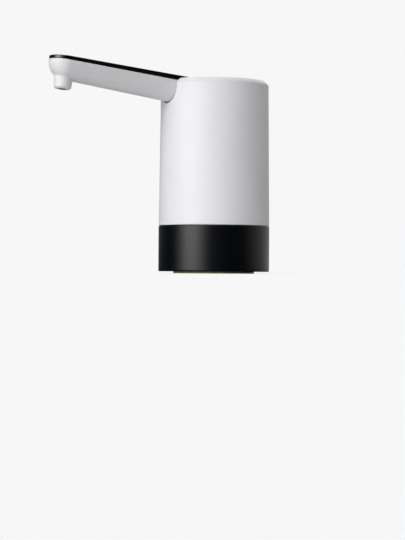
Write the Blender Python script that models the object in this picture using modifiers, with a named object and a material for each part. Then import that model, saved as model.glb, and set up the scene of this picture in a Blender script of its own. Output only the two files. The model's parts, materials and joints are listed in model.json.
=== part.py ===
# Electric water jug pump: a tapered white body on a black foot ring, with a side spout.
# Metres, +Z up. The origin is the centre of the flat face inside the foot that seats on the jug's neck.
# The spout arm points along -X and the charging port faces +X.

import math

import bmesh
import bpy
from mathutils import Matrix, Vector

MM = 0.001

# Clearances and common values
GAP = 0.3 * MM
OVERRUN = 1.0 * MM
WELD = 0.001 * MM
ROUND_STEPS = 32
FINE_STEPS = 24
MOTOR_STEPS = 16
SMALL_STEPS = 12
TINY_STEPS = 8
KNUCKLE_STEPS = 20

# How far in the middle point of a rounded edge lies
EDGE_MIDDLE_SHARE = 0.3

# Neck seal: silicone sleeve with a lip under the ring
SEAL_RADIUS = 25.9 * MM
SEAL_WALL = 1.6 * MM
SEAL_LIP = 1.2 * MM
SEAL_EDGE = 0.3 * MM
SEAL_RIB = 0.6 * MM
SEAL_RIB_HALF = 0.8 * MM
SEAL_RIB_PITCH = 5.0 * MM
SEAL_RIB_START = 2.6 * MM
SEAL_RIBS = 2

# Foot ring: black moulding that holds the neck socket, a rim wider than the seal in it
RING_RIM = 9.6 * MM
RING_RADIUS = SEAL_RADIUS + RING_RIM
RING_HEIGHT = 29.3 * MM
RING_WALL = 2.8 * MM
RING_FLOOR = 2.2 * MM
RING_CORNER = 0.8 * MM
RING_EDGE = 0.3 * MM
RIM_DROP = 4.3 * MM
RIM_SLOPE = 2.0 * MM
TONGUE_WALL = 1.9 * MM
TONGUE_HEIGHT = 3.0 * MM
SOCKET_DEPTH = 17.0 * MM
ROOF_THICKNESS = 2.5 * MM
COLLAR_WALL = 2.0 * MM
SEAT_RADIUS = 24.5 * MM
SEAT_STEP = 2.4 * MM
BEAD_RISE = 0.7 * MM
BEAD_HALF = 1.2 * MM
BEAD_LEVEL = 8.0 * MM

# White body, which tapers from just inside the ring's edge
BODY_FOOT_STEP = 0.1 * MM
BODY_TAPER = 0.95 * MM
BODY_FOOT_RADIUS = RING_RADIUS - BODY_FOOT_STEP
BODY_TOP_RADIUS = BODY_FOOT_RADIUS - BODY_TAPER
BODY_HEIGHT = 89.6 * MM
BODY_WALL = 2.0 * MM
BODY_EDGE = 0.5 * MM
SNAP_RISE = 0.45 * MM
SNAP_HALF = 0.9 * MM
SNAP_DROP = 4.0 * MM

# Lid
CAP_HEIGHT = 3.0 * MM
CAP_CHAMFER = 3.05 * MM
CAP_TOP_RADIUS = BODY_TOP_RADIUS - CAP_CHAMFER
CAP_BULGE = 0.3 * MM
CAP_THICKNESS = 2.2 * MM
SKIRT_WALL = 1.4 * MM
SKIRT_DROP = 7.0 * MM
POCKET_WALL = 1.6 * MM

# Spout arm, in its own tilted frame: its top plane meets the body's axis at the frame's origin
ARM_TILT = math.radians(6.0)
ARM_AXIS_DROP = 1.7 * MM
ARM_REACH = 105.5 * MM
ARM_WIDTH = 20.0 * MM
STRIP_AXIS_THICKNESS = 3.45 * MM
STRIP_TIP_THICKNESS = 2.28 * MM
STRIP_EDGE = 0.45 * MM
ARM_AXIS_DEPTH = 13.9 * MM
ARM_TIP_DEPTH = 11.5 * MM
ARM_POWER = 2.4
ARM_WALL = 1.6 * MM
ARM_ROOT_INSET = 14.45 * MM
ARM_ROOT = BODY_TOP_RADIUS - ARM_ROOT_INSET
ARM_CLEARANCE = 0.7 * MM
ARM_ROOM_REACH = 8.0 * MM
STRIP_ROOM_REACH = 2.0 * MM
EAR_STEP = 4.0 * MM
EAR_PLACE = ARM_ROOT + EAR_STEP
EAR_SIDE = 12.0 * MM
EAR_LENGTH = 5.4 * MM
EAR_THICKNESS = 3.0 * MM
EAR_LEVEL = 13.5 * MM
EAR_OUT = 2.6 * MM
EAR_INNER = 3.0 * MM
ARM_BOSS_RADIUS = 2.6 * MM
ARM_BOSS_RISE = 2.2 * MM

# Nozzle
NOZZLE_RADIUS = 5.9 * MM
NOZZLE_TIP_RADIUS = 5.65 * MM
NOZZLE_DROP = 5.8 * MM
NOZZLE_EDGE = 0.8 * MM
NOZZLE_ROOT = 4.0 * MM
NOZZLE_BORE = 4.1 * MM
OUTLET_RADIUS = 1.9 * MM
NOZZLE_INSET = 0.4 * MM
NOZZLE_TOP = 2.4 * MM
NOZZLE_BARB_LENGTH = 9.0 * MM

# Button, light ring, switch
BUTTON_RADIUS = 7.0 * MM
BUTTON_PROUD = 0.6 * MM
BUTTON_EDGE = 0.6 * MM
BUTTON_FLANGE = 1.2 * MM
BUTTON_FLANGE_THICKNESS = 1.3 * MM
BUTTON_SKIN = 1.8 * MM
BUTTON_WALL = 1.4 * MM
BUTTON_POST = 2.0 * MM
BUTTON_POST_DROP = 1.2 * MM
LIGHT_RING_WALL = 1.0 * MM
SWITCH_SIDE = 6.0 * MM
SWITCH_HEIGHT = 3.5 * MM
PLUNGER_RADIUS = 1.75 * MM
PLUNGER_SUNK = 1.3 * MM
PLUNGER_TRAVEL_ROOM = 0.9 * MM

# Main board under the lid
BOARD_CLEARANCE = 3.25 * MM
BOARD_RADIUS = BODY_TOP_RADIUS - BODY_WALL - GAP - SKIRT_WALL - BOARD_CLEARANCE
BOARD_THICKNESS = 1.6 * MM
BOARD_DROP = 16.3 * MM
BOARD_FRONT = 8.5 * MM
BOARD_BOSS_RADIUS = 2.4 * MM
BOARD_BOSS_INSET = 6.0 * MM
BOARD_BOSS_CIRCLE = BOARD_RADIUS - BOARD_BOSS_INSET
BOARD_BOSS_ANGLES = (math.radians(25.0), math.radians(100.0), math.radians(-100.0))
CHIP_THICKNESS = 1.4 * MM
CHIP_LENGTH = 5.0 * MM
CHIP_WIDTH = 4.0 * MM
CHIP_X = 9.0 * MM
CHIP_Y = -11.0 * MM
STAKE_RADIUS = 0.9 * MM
STAKE_HEAD = 1.7 * MM
STAKE_HEAD_HEIGHT = 0.9 * MM
LAMP_SIDE = 1.6 * MM
LAMP_HEIGHT = 1.1 * MM

# Screws
SCREW_SHANK = 1.2 * MM
SCREW_HEAD = 2.3 * MM
SCREW_HEAD_HEIGHT = 1.6 * MM
SCREW_TIP = 0.7 * MM
SCREW_CROWN_SHARE = 0.8
SCREW_CROWN_DROP_SHARE = 0.35
SCREW_POINT_SHARE = 0.4
BASE_SCREW_LENGTH = 13.0 * MM
SHORT_SCREW_LENGTH = 6.0 * MM
SMALL_SHANK = 0.9 * MM
SMALL_HEAD = 1.7 * MM
SMALL_HEAD_HEIGHT = 1.0 * MM
BASE_BOSS_ANGLES = (math.radians(30.0), math.radians(150.0), math.radians(270.0))
BASE_BOSS_INSET = 4.5 * MM
BASE_BOSS_CIRCLE = RING_RADIUS - BASE_BOSS_INSET
BASE_POST_RADIUS = 3.9 * MM
BASE_BOSS_RADIUS = 3.0 * MM
BASE_BOSS_HEIGHT = 14.0 * MM
BASE_HEAD_LEVEL = 24.0 * MM

# Gear pump
PUMP_X = 8.0 * MM
PUMP_Y = -7.5 * MM
GEAR_TEETH = 10
GEAR_MODULE = 1.0 * MM
GEAR_PRESSURE = math.radians(25.0)
GEAR_ADDENDUM_SHARE = 0.9
GEAR_DEDENDUM_SHARE = 1.15
GEAR_BACKLASH = 0.16 * MM
FLANK_STEPS = 3
GEAR_THICKNESS = 8.0 * MM
PUMP_SIZE_X = 19.0 * MM
PUMP_SIZE_Y = 29.0 * MM
PUMP_EDGE = 2.0 * MM
PUMP_COVER_THICKNESS = 3.0 * MM
PUMP_HOUSING_HEIGHT = 12.0 * MM
GASKET_THICKNESS = 0.6 * MM
PUMP_SCREW_X = 7.0 * MM
PUMP_SCREW_Y = 12.0 * MM
PORT_RADIUS = 2.2 * MM
PORT_PLACE = 4.5 * MM
SHAFT_RADIUS = 1.15 * MM
PIN_RADIUS = 1.2 * MM
PIN_SUNK = 1.5 * MM
SHAFT_SEAL_RADIUS = 3.2 * MM
SHAFT_SEAL_HEIGHT = 1.8 * MM
OUTLET_BARB_RADIUS = 2.0 * MM
OUTLET_BARB_LENGTH = 5.5 * MM
BARB_BORE = 1.2 * MM
INLET_RADIUS = 3.6 * MM
INLET_BARB_RISE = 0.5 * MM
INLET_BARB_PITCH = 3.2 * MM
INLET_DROP = 14.0 * MM
INLET_BARBS = 3
INLET_HOLE = 6.0 * MM
ORING_SECTION = 0.9 * MM
EAR_POST_RADIUS = 2.8 * MM
PUMP_EAR_THICKNESS = 3.0 * MM
PUMP_EAR_LEVEL = 6.0 * MM
PUMP_EAR_RIGHT = (14.6 * MM, -3.5 * MM)
PUMP_EAR_LEFT = (-14.6 * MM, -8.0 * MM)

# Motor
MOTOR_RADIUS = 12.2 * MM
MOTOR_WALL = 1.0 * MM
MOTOR_FLOOR = 2.0 * MM
BELL_TERMINAL_SHARE = 0.6
MOTOR_CAN_HEIGHT = 26.0 * MM
MOTOR_PLATE_THICKNESS = 1.5 * MM
MOTOR_SCREW_PLACE = 6.5 * MM
MAGNET_WALL = 2.0 * MM
MAGNET_HEIGHT = 17.0 * MM
MAGNET_GAP = 6.0 * MM
MAGNET_LEVEL = 3.0 * MM
ARMATURE_RADIUS = 8.4 * MM
ARMATURE_HEIGHT = 13.0 * MM
ARMATURE_LEVEL = 5.0 * MM
ARMATURE_POLES = 3
POLE_HALF = math.radians(50.0)
POLE_SHOE = 1.6 * MM
POLE_NECK = 1.2 * MM
POLE_HUB = 3.0 * MM
WINDING_DEPTH = 1.0 * MM
WINDING_OVERHANG = 0.6 * MM
COMMUTATOR_RADIUS = 2.8 * MM
COMMUTATOR_HEIGHT = 4.0 * MM
COMMUTATOR_LEVEL = 20.3 * MM
END_BELL_HEIGHT = 4.0 * MM
END_BELL_SPIGOT = 2.0 * MM
SHAFT_PAST_BELL = 1.5 * MM

# Battery
CELL_RADIUS = 9.1 * MM
CELL_LENGTH = 65.0 * MM
CELL_EDGE = 0.6 * MM
CELL_BUTTON = 3.0 * MM
CELL_BUTTON_RISE = 0.7 * MM
CELL_X = 3.0 * MM
CELL_ROOM = 1.95 * MM
CRADLE_WALL = 1.5 * MM
CRADLE_FLOOR = 1.8 * MM
CRADLE_HEIGHT = 58.0 * MM
CRADLE_OPEN = 7.6 * MM
TAB_THICKNESS = 0.4 * MM
TAB_WIDTH = 5.0 * MM
TAB_LENGTH = 11.0 * MM

# Charging port, centred at the back
PORT_LEVEL = 46.1 * MM
PORT_INSET = 2.0 * MM
POCKET_FLOOR = BODY_FOOT_RADIUS - PORT_INSET
PAD_THICKNESS = 2.2 * MM
PAD_HALF_WIDTH = 10.0 * MM
PAD_BELOW = 12.6 * MM
PAD_ABOVE = 6.9 * MM
COVER_HALF_WIDTH = 8.0 * MM
COVER_ABOVE = 5.0 * MM
COVER_PROUD = 0.3 * MM
COVER_HINGE_DROP = 6.2 * MM
COVER_HINGE_RADIUS = 0.9 * MM
COVER_STUB_HALF_WIDTH = 4.2 * MM
COVER_STUB_HALF_HEIGHT = 0.95 * MM
COVER_STUB_LENGTH = 1.6 * MM
COVER_EDGE = 0.4 * MM
ANCHOR_HEIGHT = 3.2 * MM
ANCHOR_CLEARANCE = 0.5 * MM
ANCHOR_PEG_RADIUS = 1.2 * MM
ANCHOR_PEG_LENGTH = 3.4 * MM
PORT_HALF_WIDTH = 5.0 * MM
PORT_HALF_HEIGHT = 1.95 * MM
SOCKET_WIDTH = 9.0 * MM
SOCKET_HEIGHT = 3.2 * MM
SOCKET_LENGTH = 7.3 * MM
SOCKET_SHELL = 0.45 * MM
USB_BOARD_LENGTH = 9.6 * MM
USB_BOARD_WIDTH = 18.0 * MM
USB_BOARD_THICKNESS = 1.2 * MM
LEDGE_WIDTH = 3.6 * MM
LEDGE_HEIGHT = 4.7 * MM
LEDGE_LENGTH = 9.8 * MM
USB_STAKE_SIDE = 7.0 * MM
USB_STAKE_BACK = 6.4 * MM

# Hose and leads
HOSE_RADIUS = 3.3 * MM
HOSE_BORE = 2.3 * MM
HOSE_STEP = 9.0 * MM
HOSE_BEND = 6.2 * MM
HOSE_FOOT_BEND = 7.0 * MM
RISER_SHARES = (0.25, 0.75)
CLAMP_WALL = 0.6 * MM
CLAMP_WIDTH = 3.0 * MM
CLAMP_EAR = 2.0 * MM
CLAMP_EAR_THICKNESS = 1.2 * MM
CLAMP_EAR_WIDTH = 1.65 * MM
CLAMP_PLACE_SHARE = 0.55
LEAD_RADIUS = 0.6 * MM
LEAD_END = 3.0 * MM
LEAD_STEP = 8.4 * MM
LEAD_ASIDE = 2.4 * MM
LEAD_BACK = 3.6 * MM
LEAD_SIDE_BACK = 6.0 * MM
LEAD_SPREAD = 1.2 * MM
LEAD_FOOT_SHARE = 0.2
LEAD_CELL_RISE = 3.6 * MM
LEAD_SIDE_RISE = 1.8 * MM
LEAD_BELL_RISE = 7.2 * MM
LEAD_PORT_RISE = 8.4 * MM

# Levels worked out from the sizes above
RING_BOTTOM = -SOCKET_DEPTH
RING_TOP = RING_BOTTOM + RING_HEIGHT
BODY_TOP = RING_TOP + BODY_HEIGHT
TOP_PLANE = BODY_TOP + CAP_HEIGHT
ARM_ORIGIN = Vector((0, 0, TOP_PLANE - ARM_AXIS_DROP))
BODY_INNER_FOOT = BODY_FOOT_RADIUS - BODY_WALL
BODY_INNER_TOP = BODY_TOP_RADIUS - BODY_WALL
PUMP_BOTTOM = ROOF_THICKNESS + GAP
GASKET_BOTTOM = PUMP_BOTTOM + PUMP_COVER_THICKNESS + GAP
HOUSING_BOTTOM = GASKET_BOTTOM + GASKET_THICKNESS + GAP
HOUSING_TOP = HOUSING_BOTTOM + PUMP_HOUSING_HEIGHT
PLATE_BOTTOM = HOUSING_TOP + GAP
MOTOR_BOTTOM = PLATE_BOTTOM + MOTOR_PLATE_THICKNESS + GAP
CAVITY_DEPTH = GEAR_THICKNESS + 2 * GAP
GEAR_PITCH = GEAR_MODULE * GEAR_TEETH / 2
MOTOR_X = PUMP_X
MOTOR_Y = PUMP_Y - GEAR_PITCH
DRIVEN_Y = PUMP_Y + GEAR_PITCH
OUTLET_LEVEL = HOUSING_BOTTOM + CAVITY_DEPTH / 2
BOARD_BOTTOM = TOP_PLANE - CAP_THICKNESS - BOARD_DROP
BOARD_TOP = BOARD_BOTTOM + BOARD_THICKNESS
CELL_Y = BODY_INNER_TOP - CELL_ROOM - CRADLE_WALL - GAP - CELL_RADIUS
CELL_BOTTOM = ROOF_THICKNESS + GAP + CRADLE_FLOOR + GAP + TAB_THICKNESS + GAP
PORT_HEIGHT = RING_BOTTOM + PORT_LEVEL
HINGE_X = POCKET_FLOOR + GAP + COVER_HINGE_RADIUS
HINGE_Z = PORT_HEIGHT - COVER_HINGE_DROP
ARM_HALF = ARM_WIDTH / 2


# Scene set-up


def clear_scene():
    for old in list(bpy.data.objects):
        bpy.data.objects.remove(old, do_unlink=True)


clear_scene()
parts = bpy.data.collections.new("water_jug_pump")
cutters = bpy.data.collections.new("cutters")
bpy.context.scene.collection.children.link(parts)
bpy.context.scene.collection.children.link(cutters)
cutters.hide_render = True

arm_frame = bpy.data.objects.new("arm_frame", None)
arm_frame.location = ARM_ORIGIN
arm_frame.rotation_euler = (0, ARM_TILT, 0)
parts.objects.link(arm_frame)
bpy.context.view_layer.update()


def paint(name, colour, roughness, metallic=0.0):
    material = bpy.data.materials.new(name)
    material.use_nodes = True
    shader = material.node_tree.nodes["Principled BSDF"]
    shader.inputs["Base Color"].default_value = (*colour, 1.0)
    shader.inputs["Roughness"].default_value = roughness
    shader.inputs["Metallic"].default_value = metallic
    return material


def add_object(name, data, place=(0, 0, 0), turn=(0, 0, 0), in_arm=False, helper=False):
    made = bpy.data.objects.new(name, data)
    made.location = place
    made.rotation_euler = turn
    if in_arm:
        made.parent = arm_frame
    if helper:
        cutters.objects.link(made)
        made.hide_render = True
        made.display_type = "WIRE"
    else:
        parts.objects.link(made)
    return made


def add_part(name, data, colour, roughness, metallic=0.0, **where):
    made = add_object(name, data, **where)
    made.data.materials.append(paint(name, colour, roughness, metallic))
    return made


def mesh_from(name, build):
    shape = bmesh.new()
    build(shape)
    mesh = bpy.data.meshes.new(name)
    shape.to_mesh(mesh)
    shape.free()
    return mesh


def block_mesh(name, size):
    def build(shape):
        bmesh.ops.create_cube(shape, size=1.0)
        bmesh.ops.scale(shape, vec=size, verts=shape.verts)

    return mesh_from(name, build)


def rod_mesh(name, radius, length, steps=SMALL_STEPS):
    # Turned half a step, so that no corner lies on the middle plane of what the rod meets.
    def build(shape):
        bmesh.ops.create_cone(
            shape,
            cap_ends=True,
            segments=steps,
            radius1=radius,
            radius2=radius,
            depth=length,
            matrix=Matrix.Rotation(math.pi / steps, 4, "Z"),
        )

    return mesh_from(name, build)


def block_tool(name, low, high, **where):
    size = [b - a for a, b in zip(low, high)]
    centre = [(a + b) / 2 for a, b in zip(low, high)]
    return add_object(name, block_mesh(name, size), place=centre, helper=True, **where)


def rod_tool(name, radius, x, y, low, high, steps=SMALL_STEPS, **where):
    mesh = rod_mesh(name, radius, high - low, steps)
    return add_object(name, mesh, place=(x, y, (low + high) / 2), helper=True, **where)


def cross_rod_tool(name, radius, low, high, y, z, steps=SMALL_STEPS, **where):
    mesh = rod_mesh(name, radius, high - low, steps)
    place = ((low + high) / 2, y, z)
    return add_object(name, mesh, place=place, turn=(0, math.pi / 2, 0), helper=True, **where)


def combine(target, tools, operation):
    for tool in tools:
        step = target.modifiers.new(operation.lower() + "_" + tool.name, "BOOLEAN")
        step.operation = operation
        step.object = tool
    return target


def cut(target, *tools):
    return combine(target, tools, "DIFFERENCE")


def fuse(target, *tools):
    return combine(target, tools, "UNION")


def keep_common(target, *tools):
    return combine(target, tools, "INTERSECT")


def profile_mesh(name, points, closed):
    mesh = bpy.data.meshes.new(name)
    edges = [(i, i + 1) for i in range(len(points) - 1)]
    if closed:
        edges.append((len(points) - 1, 0))
    mesh.from_pydata([(r, 0, z) for r, z in points], edges, [])
    return mesh


def spin(target, steps):
    turn = target.modifiers.new("turn", "SCREW")
    turn.axis = "Z"
    turn.angle = 2 * math.pi
    turn.steps = steps
    turn.render_steps = steps
    turn.use_merge_vertices = True
    turn.merge_threshold = WELD
    turn.use_smooth_shade = False
    return target


def turned_part(name, points, colour, roughness, metallic=0.0, closed=False, steps=SMALL_STEPS, **where):
    made = add_part(name, profile_mesh(name, points, closed), colour, roughness, metallic, **where)
    return spin(made, steps)


def turned_tool(name, points, closed=False, steps=SMALL_STEPS, **where):
    made = add_object(name, profile_mesh(name, points, closed), helper=True, **where)
    return spin(made, steps)


def bevel(target, width, segments=2, angle=math.radians(40.0)):
    step = target.modifiers.new("round", "BEVEL")
    step.width = width
    step.segments = segments
    step.limit_method = "ANGLE"
    step.angle_limit = angle
    step.use_clamp_overlap = True
    return target


def freeze(target):
    # The mesh that the modifiers or the curve make, welded, in place of the object.
    bpy.context.view_layer.update()
    graph = bpy.context.evaluated_depsgraph_get()
    mesh = bpy.data.meshes.new_from_object(target.evaluated_get(graph))
    mesh.transform(target.matrix_world)
    shape = bmesh.new()
    shape.from_mesh(mesh)
    bmesh.ops.remove_doubles(shape, verts=shape.verts, dist=WELD)
    shape.to_mesh(mesh)
    shape.free()
    bpy.data.objects.remove(target, do_unlink=True)
    return mesh


def screw_points(shank, head, head_height, length):
    # The head's top is at zero and the shank points down.
    return [
        (0, 0),
        (head * SCREW_CROWN_SHARE, 0),
        (head, -head_height * SCREW_CROWN_DROP_SHARE),
        (head, -head_height),
        (shank, -head_height),
        (shank, SCREW_TIP - head_height - length),
        (shank * SCREW_POINT_SHARE, -head_height - length),
        (0, -head_height - length),
    ]


def screws(name, kind, length, places):
    # Each screw is its own object, and all of one kind share a profile.
    shank, head, head_height = kind
    profile = profile_mesh(name, screw_points(shank, head, head_height, length), False)
    profile.materials.append(paint(name, (0.55, 0.55, 0.56), 0.3, 1.0))
    for i, place in enumerate(places):
        made = spin(add_object(f"{name}_{i + 1}", profile), TINY_STEPS)
        made.matrix_world = place


NORMAL_SCREW = (SCREW_SHANK, SCREW_HEAD, SCREW_HEAD_HEIGHT)
SMALL_SCREW = (SMALL_SHANK, SMALL_HEAD, SMALL_HEAD_HEIGHT)


def down_at(x, y, z):
    return Matrix.Translation((x, y, z))


def up_at(x, y, z):
    return Matrix.Translation((x, y, z)) @ Matrix.Rotation(math.pi, 4, "X")


def on_circle(radius, angle):
    return radius * math.cos(angle), radius * math.sin(angle)


def arc(centre_r, centre_z, radius, start, end, count):
    points = []
    for i in range(count + 1):
        angle = start + (end - start) * i / count
        points.append((centre_r + radius * math.cos(angle), centre_z + radius * math.sin(angle)))
    return points


def body_radius(z):
    share = (z - RING_TOP) / BODY_HEIGHT
    return BODY_FOOT_RADIUS + (BODY_TOP_RADIUS - BODY_FOOT_RADIUS) * share


# Foot ring and neck seal


def within(outline, radius):
    # The outline, with what lies beyond the radius drawn in to it.
    points = []
    for x, y in outline:
        share = min(1, radius / math.hypot(x, y))
        points.append((x * share, y * share))
    return points


def foot_ring():
    wall_inner = RING_RADIUS - RING_WALL
    tongue_outer = BODY_INNER_FOOT - GAP
    tongue_inner = tongue_outer - TONGUE_WALL
    tongue_top = RING_TOP + TONGUE_HEIGHT
    top = RING_TOP - GAP
    socket = SEAL_RADIUS + GAP
    collar = socket + COLLAR_WALL
    bead_level = RING_BOTTOM + BEAD_LEVEL
    bead_half = BEAD_HALF + GAP
    points = [
        (0, ROOF_THICKNESS),
        (collar, ROOF_THICKNESS),
        (collar, RING_BOTTOM + RING_FLOOR),
        (wall_inner, RING_BOTTOM + RING_FLOOR),
        (wall_inner, top - RIM_DROP),
        (tongue_inner, top - RIM_DROP + RIM_SLOPE),
        (tongue_inner, tongue_top),
        (tongue_outer, tongue_top),
        (tongue_outer, top),
        (RING_RADIUS - RING_EDGE, top),
        (RING_RADIUS, top - RING_EDGE),
    ]
    corner_r = RING_RADIUS - RING_CORNER
    corner_z = RING_BOTTOM + RING_CORNER
    points += arc(corner_r, corner_z, RING_CORNER, 0, -math.pi / 2, 2)
    points += [
        (socket, RING_BOTTOM),
        (socket, bead_level - bead_half),
        (socket + BEAD_RISE, bead_level),
        (socket, bead_level + bead_half),
        (socket, -SEAT_STEP),
        (SEAT_RADIUS, -SEAT_STEP),
        (SEAT_RADIUS, 0),
        (0, 0),
    ]
    ring = turned_part("base_ring", points, (0.012, 0.012, 0.013), 0.32, steps=ROUND_STEPS)
    head_level = RING_BOTTOM + BASE_HEAD_LEVEL
    for i, angle in enumerate(BASE_BOSS_ANGLES):
        x, y = on_circle(BASE_BOSS_CIRCLE, angle)
        post = circle_outline(BASE_POST_RADIUS, x, y, SMALL_STEPS)
        outline = within(post, (wall_inner + tongue_outer) / 2)
        fuse(ring, outline_tool(f"base_post_{i}", [outline], RING_BOTTOM + RING_FLOOR / 2, tongue_top))
        well = rod_tool(f"base_well_{i}", SCREW_HEAD + GAP, x, y, RING_BOTTOM - OVERRUN, head_level)
        hole = rod_tool(f"base_hole_{i}", SCREW_SHANK + GAP, x, y, RING_BOTTOM, tongue_top + OVERRUN)
        cut(ring, well, hole)
    pipe_hole = rod_tool(
        "inlet_hole", INLET_HOLE, PUMP_X + PORT_PLACE, PUMP_Y, -OVERRUN, ROOF_THICKNESS + OVERRUN
    )
    cut(ring, pipe_hole)
    ear_bottom = HOUSING_BOTTOM + PUMP_EAR_LEVEL
    for side, (dx, dy) in (("right", PUMP_EAR_RIGHT), ("left", PUMP_EAR_LEFT)):
        x, y = PUMP_X + dx, PUMP_Y + dy
        post_low = ROOF_THICKNESS / 2
        post = rod_tool(f"pump_post_{side}", EAR_POST_RADIUS, x, y, post_low, ear_bottom - GAP)
        hole_low = ROOF_THICKNESS + OVERRUN
        hole = rod_tool(f"pump_post_hole_{side}", SCREW_SHANK + GAP, x, y, hole_low, ear_bottom + OVERRUN)
        fuse(ring, post)
        cut(ring, hole)
    return ring


def neck_seal():
    top = -SEAT_STEP - GAP
    inner = SEAL_RADIUS - SEAL_WALL
    bottom = RING_BOTTOM - SEAL_LIP
    bead = RING_BOTTOM + BEAD_LEVEL
    points = [
        (inner, top),
        (SEAL_RADIUS, top),
        (SEAL_RADIUS, bead + BEAD_HALF),
        (SEAL_RADIUS + BEAD_RISE, bead),
        (SEAL_RADIUS, bead - BEAD_HALF),
        (SEAL_RADIUS, bottom + SEAL_EDGE),
        (SEAL_RADIUS - SEAL_EDGE, bottom),
        (inner + SEAL_EDGE, bottom),
        (inner, bottom + SEAL_EDGE),
    ]
    for i in range(SEAL_RIBS):
        level = bottom + SEAL_RIB_START + i * SEAL_RIB_PITCH
        points += [(inner, level - SEAL_RIB_HALF), (inner - SEAL_RIB, level), (inner, level + SEAL_RIB_HALF)]
    turned_part("neck_seal", points, (0.72, 0.70, 0.50), 0.5, closed=True, steps=ROUND_STEPS)


# Body and lid


def arm_section(distance):
    share = distance / ARM_REACH
    thickness = STRIP_AXIS_THICKNESS + (STRIP_TIP_THICKNESS - STRIP_AXIS_THICKNESS) * share
    depth = ARM_AXIS_DEPTH + (ARM_TIP_DEPTH - ARM_AXIS_DEPTH) * share
    return thickness, depth


def arm_profile(distance, scale, inset, drop, rise, count):
    # One D-shaped section across the arm, flat side up, from one top edge round to the other.
    thickness, depth = arm_section(distance)
    half = (ARM_HALF - inset) * scale
    deep = (depth - inset - drop) * scale
    points = []
    for i in range(count + 1):
        angle = math.pi * i / count
        across = math.copysign(abs(math.cos(angle)) ** (2 / ARM_POWER), math.cos(angle))
        down = math.sin(angle) ** (2 / ARM_POWER) if 0 < i < count else 0
        points.append((half * across, -thickness - drop - deep * down))
    if rise:
        points = [(half, rise)] + points + [(-half, rise)]
    return points


def arm_loft(name, start, end, inset=0.0, drop=0.0, rise=0.0, rounded=True, count=18, turns=8):
    # Sections from the root outwards, then the ball end, whose sections shrink along a circle.
    places = [(start, 1.0), (end, 1.0)]
    if rounded:
        last = turns if not rise else turns - 1
        for i in range(1, last + 1):
            angle = math.pi / 2 * i / turns
            places.append((end + (ARM_HALF - inset) * math.sin(angle), math.cos(angle)))
    pointed = rounded and not rise
    if pointed:
        places.pop()

    def build(shape):
        rows = []
        for distance, scale in places:
            row = arm_profile(distance, scale, inset, drop, rise, count)
            rows.append([shape.verts.new((-distance, y, z)) for y, z in row])
        for near, far in zip(rows, rows[1:]):
            for i in range(len(near)):
                j = (i + 1) % len(near)
                shape.faces.new((near[i], near[j], far[j], far[i]))
        shape.faces.new(rows[0])
        if pointed:
            tip_distance = end + ARM_HALF - inset
            thickness, _ = arm_section(tip_distance)
            tip = shape.verts.new((-tip_distance, 0, -thickness - drop))
            outer = rows[-1]
            for i in range(len(outer)):
                shape.faces.new((outer[i], outer[(i + 1) % len(outer)], tip))
        else:
            shape.faces.new(rows[-1])
        bmesh.ops.recalc_face_normals(shape, faces=shape.faces)

    return mesh_from(name, build)


def arm_room(name):
    far = BODY_FOOT_RADIUS + ARM_ROOM_REACH
    mesh = arm_loft(
        name, ARM_ROOT - GAP, far, inset=-ARM_CLEARANCE, drop=0.0, rise=ARM_HALF, rounded=False
    )
    return add_object(name, mesh, in_arm=True, helper=True)


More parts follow.
